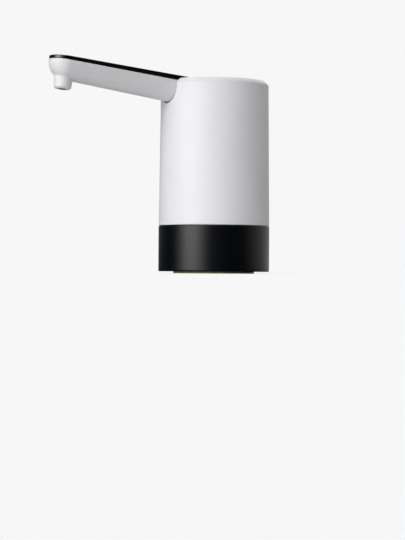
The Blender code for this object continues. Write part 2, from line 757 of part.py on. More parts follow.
def body_shell():
    top = BODY_TOP - GAP / 2
    snap = BODY_TOP - SNAP_DROP
    snap_half = SNAP_HALF + GAP
    points = [
        (BODY_TOP_RADIUS, top),
        (BODY_FOOT_RADIUS, RING_TOP + BODY_EDGE),
        (BODY_FOOT_RADIUS - BODY_EDGE, RING_TOP),
        (BODY_INNER_FOOT, RING_TOP),
        (BODY_INNER_TOP, snap - snap_half),
        (BODY_INNER_TOP + SNAP_RISE, snap),
        (BODY_INNER_TOP, snap + snap_half),
        (BODY_INNER_TOP, top),
    ]
    shell = turned_part("body_shell", points, (0.80, 0.80, 0.79), 0.35, closed=True, steps=ROUND_STEPS)
    pad_low = (POCKET_FLOOR - PAD_THICKNESS, -PAD_HALF_WIDTH, PORT_HEIGHT - PAD_BELOW)
    pad_high = (POCKET_FLOOR + GAP, PAD_HALF_WIDTH, PORT_HEIGHT + PAD_ABOVE)
    fuse(shell, block_tool("port_pad", pad_low, pad_high))
    ledge_top = PORT_HEIGHT - SOCKET_HEIGHT / 2 - GAP - USB_BOARD_THICKNESS - GAP
    ledge_end = POCKET_FLOOR - PAD_THICKNESS / 2
    boss_low = RING_TOP + TONGUE_HEIGHT + GAP
    boss_high = boss_low + BASE_BOSS_HEIGHT
    for side in (-1, 1):
        middle = side * USB_STAKE_SIDE
        low = (ledge_end - LEDGE_LENGTH, middle - LEDGE_WIDTH / 2, ledge_top - LEDGE_HEIGHT)
        high = (ledge_end, middle + LEDGE_WIDTH / 2, ledge_top)
        fuse(shell, block_tool(f"port_ledge_{side + 1}", low, high))
    for i, angle in enumerate(BASE_BOSS_ANGLES):
        x, y = on_circle(BASE_BOSS_CIRCLE, angle)
        fuse(shell, rod_tool(f"body_boss_{i}", BASE_BOSS_RADIUS, x, y, boss_low, boss_high))
        high = boss_high - OVERRUN
        cut(shell, rod_tool(f"body_boss_hole_{i}", SCREW_SHANK + GAP, x, y, boss_low - OVERRUN, high))
    board_face = PORT_HEIGHT - SOCKET_HEIGHT / 2
    for side in (-1, 1):
        x = POCKET_FLOOR - PAD_THICKNESS - USB_STAKE_BACK
        stake(shell, f"port_stake_{side + 1}", x, side * USB_STAKE_SIDE, ledge_top - OVERRUN, board_face)
    recess_low = (POCKET_FLOOR, -COVER_HALF_WIDTH - GAP, anchor_bottom() - GAP)
    recess_high = (RING_RADIUS + OVERRUN, COVER_HALF_WIDTH + GAP, PORT_HEIGHT + COVER_ABOVE + GAP)
    opening_low = (POCKET_FLOOR - PAD_THICKNESS - OVERRUN, -PORT_HALF_WIDTH, PORT_HEIGHT - PORT_HALF_HEIGHT)
    opening_high = (RING_RADIUS + OVERRUN, PORT_HALF_WIDTH, PORT_HEIGHT + PORT_HALF_HEIGHT)
    peg_hole = cross_rod_tool(
        "anchor_hole",
        ANCHOR_PEG_RADIUS + GAP,
        POCKET_FLOOR - PAD_THICKNESS - OVERRUN,
        RING_RADIUS,
        0,
        anchor_middle(),
    )
    cut(shell, block_tool("port_recess", recess_low, recess_high))
    cut(shell, block_tool("port_opening", opening_low, opening_high), peg_hole)
    cut(shell, arm_room("arm_room_body"))
    return shell


def pocket_outline(radius, far, count=14):
    # A strip with a round end about the button, open towards the arm's root.
    points = [(-far, -radius)]
    for i in range(count + 1):
        angle = -math.pi / 2 + math.pi * i / count
        points.append((radius * math.cos(angle), radius * math.sin(angle)))
    points.append((-far, radius))
    return points


def outline_curve(name, outlines, thickness):
    curve = bpy.data.curves.new(name, "CURVE")
    curve.dimensions = "2D"
    curve.fill_mode = "BOTH"
    curve.extrude = thickness / 2
    for outline in outlines:
        spline = curve.splines.new("POLY")
        spline.points.add(len(outline) - 1)
        for point, (x, y) in zip(spline.points, outline):
            point.co = (x, y, 0, 1)
        spline.use_cyclic_u = True
    return curve


def outline_tool(name, outlines, low, high, in_arm=False):
    # A flat outline made a welded mesh, so that it can cut or be joined.
    curve = outline_curve(name + "_curve", outlines, high - low)
    made = add_object(name + "_curve", curve, helper=True)
    mesh = freeze(made)
    mesh.transform(Matrix.Translation((0, 0, (low + high) / 2)))
    return add_object(name, mesh, in_arm=in_arm, helper=True)


def circle_outline(radius, x=0.0, y=0.0, count=TINY_STEPS + 2):
    return [
        (x + radius * math.cos(2 * math.pi * i / count), y + radius * math.sin(2 * math.pi * i / count))
        for i in range(count)
    ]


def stake(target, name, x, y, start, face):
    # A pin through a board, with its end melted to a flat head past the far face.
    head = face + math.copysign(STAKE_HEAD_HEIGHT, face - start)
    low, high = sorted((start, head))
    fuse(target, rod_tool(name + "_pin", STAKE_RADIUS, x, y, low, high, TINY_STEPS))
    low, high = sorted((face, head))
    fuse(target, rod_tool(name + "_head", STAKE_HEAD, x, y, low, high, TINY_STEPS))


def pocket_floor():
    return -STRIP_AXIS_THICKNESS - GAP


def top_cap():
    skirt_outer = BODY_INNER_TOP - GAP
    skirt_inner = skirt_outer - SKIRT_WALL
    rim = BODY_TOP + GAP / 2
    snap = BODY_TOP - SNAP_DROP
    underside = TOP_PLANE - CAP_THICKNESS
    middle_r = (CAP_TOP_RADIUS + BODY_TOP_RADIUS) / 2 + CAP_BULGE
    middle_z = (TOP_PLANE + rim) / 2 + CAP_BULGE
    points = [
        (0, TOP_PLANE),
        (CAP_TOP_RADIUS, TOP_PLANE),
        (middle_r, middle_z),
        (BODY_TOP_RADIUS, rim),
        (skirt_outer, rim),
        (skirt_outer, snap + SNAP_HALF),
        (skirt_outer + SNAP_RISE, snap),
        (skirt_outer, snap - SNAP_HALF),
        (skirt_outer, BODY_TOP - SKIRT_DROP),
        (skirt_inner, BODY_TOP - SKIRT_DROP),
        (skirt_inner, underside),
        (0, underside),
    ]
    cap = turned_part("top_cap", points, (0.80, 0.80, 0.79), 0.35, steps=ROUND_STEPS)
    block = outline_tool(
        "strip_pocket_block",
        [pocket_outline(ARM_HALF + GAP + POCKET_WALL, ARM_ROOT + POCKET_WALL)],
        pocket_floor() - POCKET_WALL,
        -STRIP_EDGE,
        in_arm=True,
    )
    fuse(cap, block)
    for side in (-1, 1):
        low = -EAR_LEVEL + GAP
        y = side * EAR_SIDE
        name = f"arm_boss_{side + 1}"
        fuse(cap, rod_tool(name, ARM_BOSS_RADIUS, -EAR_PLACE, y, low, -ARM_BOSS_RISE, in_arm=True))
    for i, angle in enumerate(BOARD_BOSS_ANGLES):
        x, y = on_circle(BOARD_BOSS_CIRCLE, angle)
        high = underside + CAP_THICKNESS / 2
        fuse(cap, rod_tool(f"board_boss_{i}", BOARD_BOSS_RADIUS, x, y, BOARD_TOP + GAP, high))
        stake(cap, f"board_stake_{i}", x, y, BOARD_TOP + GAP + OVERRUN, BOARD_BOTTOM - GAP)
    for side in (-1, 1):
        low = -EAR_LEVEL - OVERRUN
        high = -EAR_LEVEL + SHORT_SCREW_LENGTH + OVERRUN
        y = side * EAR_SIDE
        name = f"arm_boss_hole_{side + 1}"
        cut(cap, rod_tool(name, SCREW_SHANK + GAP, -EAR_PLACE, y, low, high, in_arm=True))
    recess = outline_tool(
        "strip_recess",
        [pocket_outline(ARM_HALF + GAP, BODY_FOOT_RADIUS + STRIP_ROOM_REACH)],
        pocket_floor(),
        ARM_HALF,
        in_arm=True,
    )
    cut(cap, recess, arm_room("arm_room_cap"))
    low = pocket_floor() - POCKET_WALL - OVERRUN
    cut(cap, rod_tool("button_hole", BUTTON_RADIUS + GAP, 0, 0, low, OVERRUN, FINE_STEPS, in_arm=True))
    return cap


# Arm, strip, nozzle


def spout_arm():
    mesh = arm_loft("spout_arm", ARM_ROOT, ARM_REACH, drop=GAP)
    arm = add_part("spout_arm", mesh, (0.80, 0.80, 0.79), 0.35, in_arm=True)
    thickness, depth = arm_section(ARM_REACH)
    underside = -thickness - depth
    end = underside - NOZZLE_DROP
    eased = NOZZLE_EDGE * EDGE_MIDDLE_SHARE
    points = [
        (0, underside + NOZZLE_ROOT),
        (NOZZLE_RADIUS, underside + NOZZLE_ROOT),
        (NOZZLE_TIP_RADIUS, end + NOZZLE_EDGE),
        (NOZZLE_TIP_RADIUS - eased, end + eased),
        (NOZZLE_TIP_RADIUS - NOZZLE_EDGE, end),
        (0, end),
    ]
    collar = turned_tool("nozzle_collar", points, steps=FINE_STEPS, place=(-ARM_REACH, 0, 0), in_arm=True)
    fuse(arm, collar)
    for side in (-1, 1):
        inner = side * EAR_INNER
        outer = side * (EAR_SIDE + EAR_OUT)
        low = (-EAR_PLACE - EAR_LENGTH / 2, min(inner, outer), -EAR_LEVEL - EAR_THICKNESS)
        high = (-EAR_PLACE + EAR_LENGTH / 2, max(inner, outer), -EAR_LEVEL)
        fuse(arm, block_tool(f"arm_ear_{side + 1}", low, high, in_arm=True))
    start = ARM_ROOT - OVERRUN
    channel = arm_loft("arm_channel", start, ARM_REACH, inset=ARM_WALL, rise=OVERRUN, count=12, turns=6)
    cut(arm, add_object("arm_channel", channel, in_arm=True, helper=True))
    low = underside - NOZZLE_DROP - OVERRUN
    bore = rod_tool("nozzle_bore", NOZZLE_BORE, -ARM_REACH, 0, low, -thickness, FINE_STEPS, in_arm=True)
    cut(arm, bore)
    for side in (-1, 1):
        low = -EAR_LEVEL - EAR_THICKNESS - OVERRUN
        hole = rod_tool(
            f"arm_ear_hole_{side + 1}",
            SCREW_SHANK + GAP,
            -EAR_PLACE,
            side * EAR_SIDE,
            low,
            -EAR_LEVEL + OVERRUN,
            in_arm=True,
        )
        cut(arm, hole)
    return arm


def strip_outline(count=14):
    points = []
    for i in range(count + 1):
        angle = -math.pi / 2 + math.pi * i / count
        points.append((ARM_HALF * math.cos(angle), ARM_HALF * math.sin(angle)))
    for i in range(count + 1):
        angle = math.pi / 2 + math.pi * i / count
        points.append((-ARM_REACH + ARM_HALF * math.cos(angle), ARM_HALF * math.sin(angle)))
    return points


def arm_top_plate():
    # The strip thins towards the tip, so its lower face follows the arm's section.
    def build(shape):
        top = [shape.verts.new((x, y, 0)) for x, y in strip_outline()]
        low = [shape.verts.new((v.co.x, v.co.y, -arm_section(-v.co.x)[0])) for v in top]
        shape.faces.new(top)
        shape.faces.new(list(reversed(low)))
        for i in range(len(top)):
            j = (i + 1) % len(top)
            shape.faces.new((top[i], low[i], low[j], top[j]))
        bmesh.ops.recalc_face_normals(shape, faces=shape.faces)

    mesh = mesh_from("arm_top_plate", build)
    strip = add_part("arm_top_plate", mesh, (0.01, 0.01, 0.011), 0.12, in_arm=True)
    bevel(strip, STRIP_EDGE)
    low = -STRIP_AXIS_THICKNESS - OVERRUN
    cut(strip, rod_tool("light_hole", light_ring_outer() + GAP, 0, 0, low, OVERRUN, FINE_STEPS, in_arm=True))
    return strip


def hose_level(distance):
    # Halfway down the arm's channel, where the hose and the nozzle's barb lie.
    thickness, depth = arm_section(distance)
    return -thickness - (depth - ARM_WALL) / 2


def nozzle():
    thickness, depth = arm_section(ARM_REACH)
    top = -thickness - NOZZLE_TOP
    bottom = -thickness - depth - NOZZLE_DROP + NOZZLE_INSET
    radius = NOZZLE_BORE - GAP
    points = [(0, top), (radius, top), (radius, bottom), (0, bottom)]
    insert = turned_part(
        "nozzle",
        points,
        (0.78, 0.78, 0.77),
        0.4,
        steps=FINE_STEPS,
        place=(-ARM_REACH, 0, 0),
        in_arm=True,
    )
    level = hose_level(ARM_REACH)
    start = -ARM_REACH + radius / 2
    end = -ARM_REACH + radius + NOZZLE_BARB_LENGTH
    fuse(insert, cross_rod_tool("nozzle_barb", OUTLET_BARB_RADIUS, start, end, 0, level, in_arm=True))
    low, high = bottom - OVERRUN, level + BARB_BORE
    way = rod_tool("outlet_way", OUTLET_RADIUS, -ARM_REACH, 0, low, high, in_arm=True)
    feed = cross_rod_tool("feed_way", BARB_BORE, -ARM_REACH, end + OVERRUN, 0, level, in_arm=True)
    cut(insert, way, feed)
    return insert


# Button, light ring, board


def light_ring_inner():
    return BUTTON_RADIUS + GAP


def light_ring_outer():
    return light_ring_inner() + LIGHT_RING_WALL


def button_post_end():
    return pocket_floor() - POCKET_WALL - GAP - BUTTON_FLANGE_THICKNESS - BUTTON_POST_DROP


def power_button():
    flange_top = pocket_floor() - POCKET_WALL - GAP
    flange_low = flange_top - BUTTON_FLANGE_THICKNESS
    flange = BUTTON_RADIUS + BUTTON_FLANGE
    hollow = BUTTON_RADIUS - BUTTON_WALL
    points = [
        (0, BUTTON_PROUD),
        (BUTTON_RADIUS - BUTTON_EDGE, BUTTON_PROUD),
        (BUTTON_RADIUS - BUTTON_EDGE * EDGE_MIDDLE_SHARE, BUTTON_PROUD - BUTTON_EDGE * EDGE_MIDDLE_SHARE),
        (BUTTON_RADIUS, BUTTON_PROUD - BUTTON_EDGE),
        (BUTTON_RADIUS, flange_top),
        (flange, flange_top),
        (flange, flange_low),
        (hollow, flange_low),
        (hollow, BUTTON_PROUD - BUTTON_SKIN),
        (BUTTON_POST, BUTTON_PROUD - BUTTON_SKIN),
        (BUTTON_POST, button_post_end()),
        (0, button_post_end()),
    ]
    turned_part("power_button", points, (0.02, 0.02, 0.022), 0.3, in_arm=True, steps=FINE_STEPS)


def indicator_ring():
    low = pocket_floor() + GAP
    points = [
        (light_ring_inner(), 0),
        (light_ring_outer(), 0),
        (light_ring_outer(), low),
        (light_ring_inner(), low),
    ]
    colour = (0.75, 0.85, 0.95)
    turned_part("indicator_ring", points, colour, 0.25, closed=True, in_arm=True, steps=FINE_STEPS)


def plunger_top():
    # The button's post leans with the arm, so its lowest edge sets the plunger's height.
    lean = BUTTON_POST * math.sin(ARM_TILT)
    return ARM_ORIGIN.z + button_post_end() * math.cos(ARM_TILT) - lean - GAP


def switch_place():
    # Below the post's end, which the lean moves off the body's axis.
    return button_post_end() * math.sin(ARM_TILT)


def tact_switch():
    x = switch_place()
    low = BOARD_TOP + GAP
    high = low + SWITCH_HEIGHT
    mesh = block_mesh("tact_switch", (SWITCH_SIDE, SWITCH_SIDE, SWITCH_HEIGHT))
    body = add_part("tact_switch", mesh, (0.05, 0.05, 0.055), 0.5, place=(x, 0, (low + high) / 2))
    well_low = high - PLUNGER_SUNK - PLUNGER_TRAVEL_ROOM
    cut(body, rod_tool("plunger_well", PLUNGER_RADIUS + GAP, x, 0, well_low, high + OVERRUN))
    start = high - PLUNGER_SUNK
    length = plunger_top() - start
    mesh = rod_mesh("switch_plunger", PLUNGER_RADIUS, length)
    add_part("switch_plunger", mesh, (0.6, 0.6, 0.58), 0.4, place=(x, 0, start + length / 2))


def circuit_board():
    mesh = rod_mesh("circuit_board", BOARD_RADIUS, BOARD_THICKNESS, ROUND_STEPS)
    middle = (0, 0, (BOARD_BOTTOM + BOARD_TOP) / 2)
    board = add_part("circuit_board", mesh, (0.02, 0.16, 0.06), 0.45, place=middle)
    low = (-BOARD_RADIUS - OVERRUN, -BOARD_RADIUS, BOARD_BOTTOM - OVERRUN)
    cut(board, block_tool("board_front", low, (-BOARD_FRONT, BOARD_RADIUS, BOARD_TOP + OVERRUN)))
    for i, angle in enumerate(BOARD_BOSS_ANGLES):
        x, y = on_circle(BOARD_BOSS_CIRCLE, angle)
        low, high = BOARD_BOTTOM - OVERRUN, BOARD_TOP + OVERRUN
        cut(board, rod_tool(f"board_hole_{i}", STAKE_RADIUS + GAP, x, y, low, high))

    chip = block_mesh("control_chip", (CHIP_LENGTH, CHIP_WIDTH, CHIP_THICKNESS))
    place = (CHIP_X, CHIP_Y, BOARD_TOP + GAP + CHIP_THICKNESS / 2)
    add_part("control_chip", chip, (0.02, 0.02, 0.022), 0.4, place=place)
    lamp = block_mesh("status_light", (LAMP_SIDE, LAMP_SIDE, LAMP_HEIGHT))
    place = (light_ring_outer() + LAMP_SIDE, 0, BOARD_TOP + GAP + LAMP_HEIGHT / 2)
    add_part("status_light", lamp, (0.9, 0.9, 0.8), 0.3, place=place)


# Gear pump


def involute(angle):
    return math.tan(angle) - angle


def gear_outline(turn):
    # Involute flanks from the base circle to the tip, straight flanks below it.
    base = GEAR_PITCH * math.cos(GEAR_PRESSURE)
    tip = GEAR_PITCH + GEAR_ADDENDUM_SHARE * GEAR_MODULE
    root = GEAR_PITCH - GEAR_DEDENDUM_SHARE * GEAR_MODULE
    half_pitch = math.pi / (2 * GEAR_TEETH) - GEAR_BACKLASH / (2 * GEAR_PITCH)
    flank = []
    for i in range(FLANK_STEPS + 1):
        radius = base + (tip - base) * i / FLANK_STEPS
        angle = half_pitch + involute(GEAR_PRESSURE) - involute(math.acos(base / radius))
        flank.append((radius, angle))
    flank = [(root, flank[0][1])] + flank
    points = []
    for tooth in range(GEAR_TEETH):
        middle = turn + 2 * math.pi * tooth / GEAR_TEETH
        for radius, angle in flank:
            points.append((radius * math.cos(middle - angle), radius * math.sin(middle - angle)))
        for radius, angle in reversed(flank):
            points.append((radius * math.cos(middle + angle), radius * math.sin(middle + angle)))
    return points


def gear(name, y, bore, turn, colour):
    curve = outline_curve(name, [gear_outline(turn), circle_outline(bore + GAP)], GEAR_THICKNESS)
    level = HOUSING_BOTTOM + GAP + GEAR_THICKNESS / 2
    return add_part(name, curve, colour, 0.4, place=(PUMP_X, y, level))


def pump_block(name, low, height):
    mesh = block_mesh(name, (PUMP_SIZE_X, PUMP_SIZE_Y, height))
    return mesh, (PUMP_X, PUMP_Y, low + height / 2)


def pump_corners():
    return [(PUMP_X + i * PUMP_SCREW_X, PUMP_Y + j * PUMP_SCREW_Y) for i in (-1, 1) for j in (-1, 1)]


def corner_holes(target, low, high):
    for i, (x, y) in enumerate(pump_corners()):
        cut(target, rod_tool(f"{target.name}_corner_{i}", SCREW_SHANK + GAP, x, y, low, high, TINY_STEPS))


def gear_rooms(name, low, high):
    room = GEAR_PITCH + GEAR_ADDENDUM_SHARE * GEAR_MODULE + GAP
    rooms = [
        rod_tool(f"{name}_drive_room", room, PUMP_X, MOTOR_Y, low, high, MOTOR_STEPS),
        rod_tool(f"{name}_driven_room", room, PUMP_X, DRIVEN_Y, low, high, MOTOR_STEPS),
    ]
    for side in (-1, 1):
        x = PUMP_X + side * PORT_PLACE
        rooms.append(rod_tool(f"{name}_port_room_{side + 1}", PORT_RADIUS, x, PUMP_Y, low, high))
    return rooms


def round_corners(target):
    # Only the upright edges are rounded.
    weights = target.data.attributes.new("bevel_weight_edge", "FLOAT", "EDGE")
    for edge, weight in zip(target.data.edges, weights.data):
        a, b = (target.data.vertices[i].co for i in edge.vertices)
        weight.value = 1.0 if abs(a.z - b.z) > WELD else 0.0
    step = target.modifiers.new("round", "BEVEL")
    step.width = PUMP_EDGE
    step.segments = 2
    step.limit_method = "WEIGHT"


def ear_outline(x, y, side, root, count=8):
    # A lug with a half-round end about its screw, from a root inside the block.
    points = [(root, y - side * EAR_POST_RADIUS)]
    for i in range(count + 1):
        angle = -math.pi / 2 + math.pi * i / count
        across = side * EAR_POST_RADIUS
        points.append((x + across * math.cos(angle), y + across * math.sin(angle)))
    points.append((root, y + side * EAR_POST_RADIUS))
    return points


def pump_housing():
    mesh, place = pump_block("pump_housing", HOUSING_BOTTOM, PUMP_HOUSING_HEIGHT)
    housing = add_part("pump_housing", mesh, (0.75, 0.75, 0.72), 0.45, place=place)
    round_corners(housing)
    ear_low = HOUSING_BOTTOM + PUMP_EAR_LEVEL
    ear_high = ear_low + PUMP_EAR_THICKNESS
    for side, (dx, dy) in (("right", PUMP_EAR_RIGHT), ("left", PUMP_EAR_LEFT)):
        x, y = PUMP_X + dx, PUMP_Y + dy
        outwards = math.copysign(1, dx)
        outline = ear_outline(x, y, outwards, PUMP_X + outwards * (PUMP_SIZE_X / 2 - PUMP_EDGE))
        fuse(housing, outline_tool(f"pump_ear_{side}", [outline], ear_low, ear_high))
        low, high = ear_low - OVERRUN, ear_high + OVERRUN
        cut(housing, rod_tool(f"pump_ear_hole_{side}", SCREW_SHANK + GAP, x, y, low, high))
    face = PUMP_X - PUMP_SIZE_X / 2
    barb = cross_rod_tool(
        "outlet_barb", OUTLET_BARB_RADIUS, face - OUTLET_BARB_LENGTH, face + PUMP_EDGE, PUMP_Y, OUTLET_LEVEL
    )
    fuse(housing, barb)
    cut(housing, *gear_rooms("housing", HOUSING_BOTTOM - OVERRUN, HOUSING_BOTTOM + CAVITY_DEPTH))
    way = cross_rod_tool(
        "outlet_channel",
        BARB_BORE,
        face - OUTLET_BARB_LENGTH - OVERRUN,
        PUMP_X - PORT_PLACE,
        PUMP_Y,
        OUTLET_LEVEL,
    )
    inside = HOUSING_BOTTOM + CAVITY_DEPTH / 2
    shaft_hole = rod_tool("shaft_hole", SHAFT_RADIUS + GAP, PUMP_X, MOTOR_Y, inside, HOUSING_TOP + OVERRUN)
    seal_low = HOUSING_TOP - SHAFT_SEAL_HEIGHT - GAP
    seal_room = rod_tool(
        "seal_room", SHAFT_SEAL_RADIUS + GAP, PUMP_X, MOTOR_Y, seal_low, HOUSING_TOP + OVERRUN
    )
    pin_high = HOUSING_BOTTOM + CAVITY_DEPTH + PIN_SUNK
    pin_hole = rod_tool("pin_hole_top", PIN_RADIUS + GAP, PUMP_X, DRIVEN_Y, inside, pin_high)
    cut(housing, way, shaft_hole, seal_room, pin_hole)
    for side in (-1, 1):
        x = PUMP_X + side * MOTOR_SCREW_PLACE
        low = HOUSING_TOP - SMALL_HEAD_HEIGHT - GAP
        high = HOUSING_TOP + OVERRUN
        name = f"motor_screw_room_{side + 1}"
        cut(housing, rod_tool(name, SMALL_HEAD + GAP, x, MOTOR_Y, low, high, TINY_STEPS))
    corner_holes(housing, HOUSING_BOTTOM - OVERRUN, HOUSING_TOP + OVERRUN)


def pump_cover():
    mesh, place = pump_block("pump_cover", PUMP_BOTTOM, PUMP_COVER_THICKNESS)
    cover = add_part("pump_cover", mesh, (0.75, 0.75, 0.72), 0.45, place=place)
    round_corners(cover)
    pipe_x = PUMP_X + PORT_PLACE
    middle = PUMP_BOTTOM + PUMP_COVER_THICKNESS / 2
    points = [(0, middle), (INLET_RADIUS, middle)]
    for i in reversed(range(INLET_BARBS)):
        level = -INLET_DROP + INLET_BARB_PITCH * (i + 1)
        points.append((INLET_RADIUS, level))
        points.append((INLET_RADIUS + INLET_BARB_RISE, level - INLET_BARB_RISE))
    points += [(INLET_RADIUS - INLET_BARB_RISE, -INLET_DROP), (0, -INLET_DROP)]
    fuse(cover, turned_tool("inlet_pipe", points, place=(pipe_x, PUMP_Y, 0)))
    high = PUMP_BOTTOM + PUMP_COVER_THICKNESS + OVERRUN
    cut(cover, rod_tool("inlet_way", PORT_RADIUS, pipe_x, PUMP_Y, -INLET_DROP - OVERRUN, high))
    pin_low = PUMP_BOTTOM + PUMP_COVER_THICKNESS - PIN_SUNK
    cut(cover, rod_tool("pin_hole_low", PIN_RADIUS + GAP, PUMP_X, DRIVEN_Y, pin_low, high))
    shaft_hole = rod_tool("shaft_well", SHAFT_RADIUS + GAP, PUMP_X, MOTOR_Y, pin_low, high)
    cut(cover, shaft_hole)
    corner_holes(cover, PUMP_BOTTOM - OVERRUN, high)
    for i, (x, y) in enumerate(pump_corners()):
        low = PUMP_BOTTOM - OVERRUN
        head_high = PUMP_BOTTOM + SMALL_HEAD_HEIGHT + GAP
        cut(cover, rod_tool(f"cover_head_{i}", SCREW_HEAD + GAP, x, y, low, head_high, TINY_STEPS))


def pump_gasket():
    mesh, place = pump_block("pump_gasket", GASKET_BOTTOM, GASKET_THICKNESS)
    gasket = add_part("pump_gasket", mesh, (0.08, 0.08, 0.08), 0.6, place=place)
    round_corners(gasket)
    low = GASKET_BOTTOM - OVERRUN
    high = GASKET_BOTTOM + GASKET_THICKNESS + OVERRUN
    cut(gasket, *gear_rooms("gasket", low, high))
    corner_holes(gasket, low, high)


def pump_small_parts():
    pin_low = PUMP_BOTTOM + PUMP_COVER_THICKNESS - PIN_SUNK + GAP
    pin_high = HOUSING_BOTTOM + CAVITY_DEPTH + PIN_SUNK - GAP
    pin = rod_mesh("driven_gear_pin", PIN_RADIUS, pin_high - pin_low)
    place = (PUMP_X, DRIVEN_Y, (pin_low + pin_high) / 2)
    add_part("driven_gear_pin", pin, (0.6, 0.6, 0.6), 0.25, 1.0, place=place)
    inner = SHAFT_RADIUS + GAP
    low = HOUSING_TOP - SHAFT_SEAL_HEIGHT
    points = [(inner, HOUSING_TOP), (SHAFT_SEAL_RADIUS, HOUSING_TOP), (SHAFT_SEAL_RADIUS, low), (inner, low)]
    turned_part("shaft_seal", points, (0.03, 0.03, 0.03), 0.6, closed=True, place=(PUMP_X, MOTOR_Y, 0))
    middle = (INLET_RADIUS + INLET_HOLE) / 2
    circle = arc(middle, ROOF_THICKNESS / 2, ORING_SECTION, math.pi / 2, -3 * math.pi / 2, 6)[:-1]
    place = (PUMP_X + PORT_PLACE, PUMP_Y, 0)
    turned_part("inlet_oring", circle, (0.03, 0.03, 0.03), 0.6, closed=True, place=place)
    gear("drive_gear", MOTOR_Y, SHAFT_RADIUS, math.pi / 2, (0.85, 0.85, 0.80))
    gear("driven_gear", DRIVEN_Y, PIN_RADIUS, math.pi / 2 + math.pi / GEAR_TEETH, (0.85, 0.85, 0.80))
    places = [up_at(x, y, PUMP_BOTTOM) for x, y in pump_corners()]
    head_kind = (SCREW_SHANK, SCREW_HEAD, SMALL_HEAD_HEIGHT)
    length = HOUSING_TOP - PUMP_BOTTOM - SMALL_HEAD_HEIGHT - GAP
    screws("pump_screw", head_kind, length, places)
    ear_top = HOUSING_BOTTOM + PUMP_EAR_LEVEL + PUMP_EAR_THICKNESS
    places = []
    for dx, dy in (PUMP_EAR_RIGHT, PUMP_EAR_LEFT):
        places.append(down_at(PUMP_X + dx, PUMP_Y + dy, ear_top + GAP + SCREW_HEAD_HEIGHT))
    screws("pump_mount_screw", NORMAL_SCREW, SHORT_SCREW_LENGTH, places)


# Motor


def pole_outline():
    # Three T-shaped poles round a hub, drawn from pole to pole.
    points = []
    step = 2 * math.pi / ARMATURE_POLES
    shoe_inner = ARMATURE_RADIUS - POLE_SHOE
    for pole in range(ARMATURE_POLES):
        middle = step * pole
        neck = math.asin(POLE_NECK / POLE_HUB)
        neck_out = math.asin(POLE_NECK / shoe_inner)
        points.append(on_circle(POLE_HUB, middle - neck))
        points.append(on_circle(shoe_inner, middle - neck_out))
        points.append(on_circle(shoe_inner, middle - POLE_HALF))
        for i in range(7):
            points.append(on_circle(ARMATURE_RADIUS, middle - POLE_HALF + 2 * POLE_HALF * i / 6))
        points.append(on_circle(shoe_inner, middle + POLE_HALF))
        points.append(on_circle(shoe_inner, middle + neck_out))
        points.append(on_circle(POLE_HUB, middle + neck))
    return points


def shoe_line(across):
    # How far out the straight inner side of a pole's shoe lies, at a distance from the pole's middle.
    radius = ARMATURE_RADIUS - POLE_SHOE
    near_x, near_y = on_circle(radius, math.asin(POLE_NECK / radius))
    far_x, far_y = on_circle(radius, POLE_HALF)
    return near_x + (far_x - near_x) * (across - near_y) / (far_y - near_y)


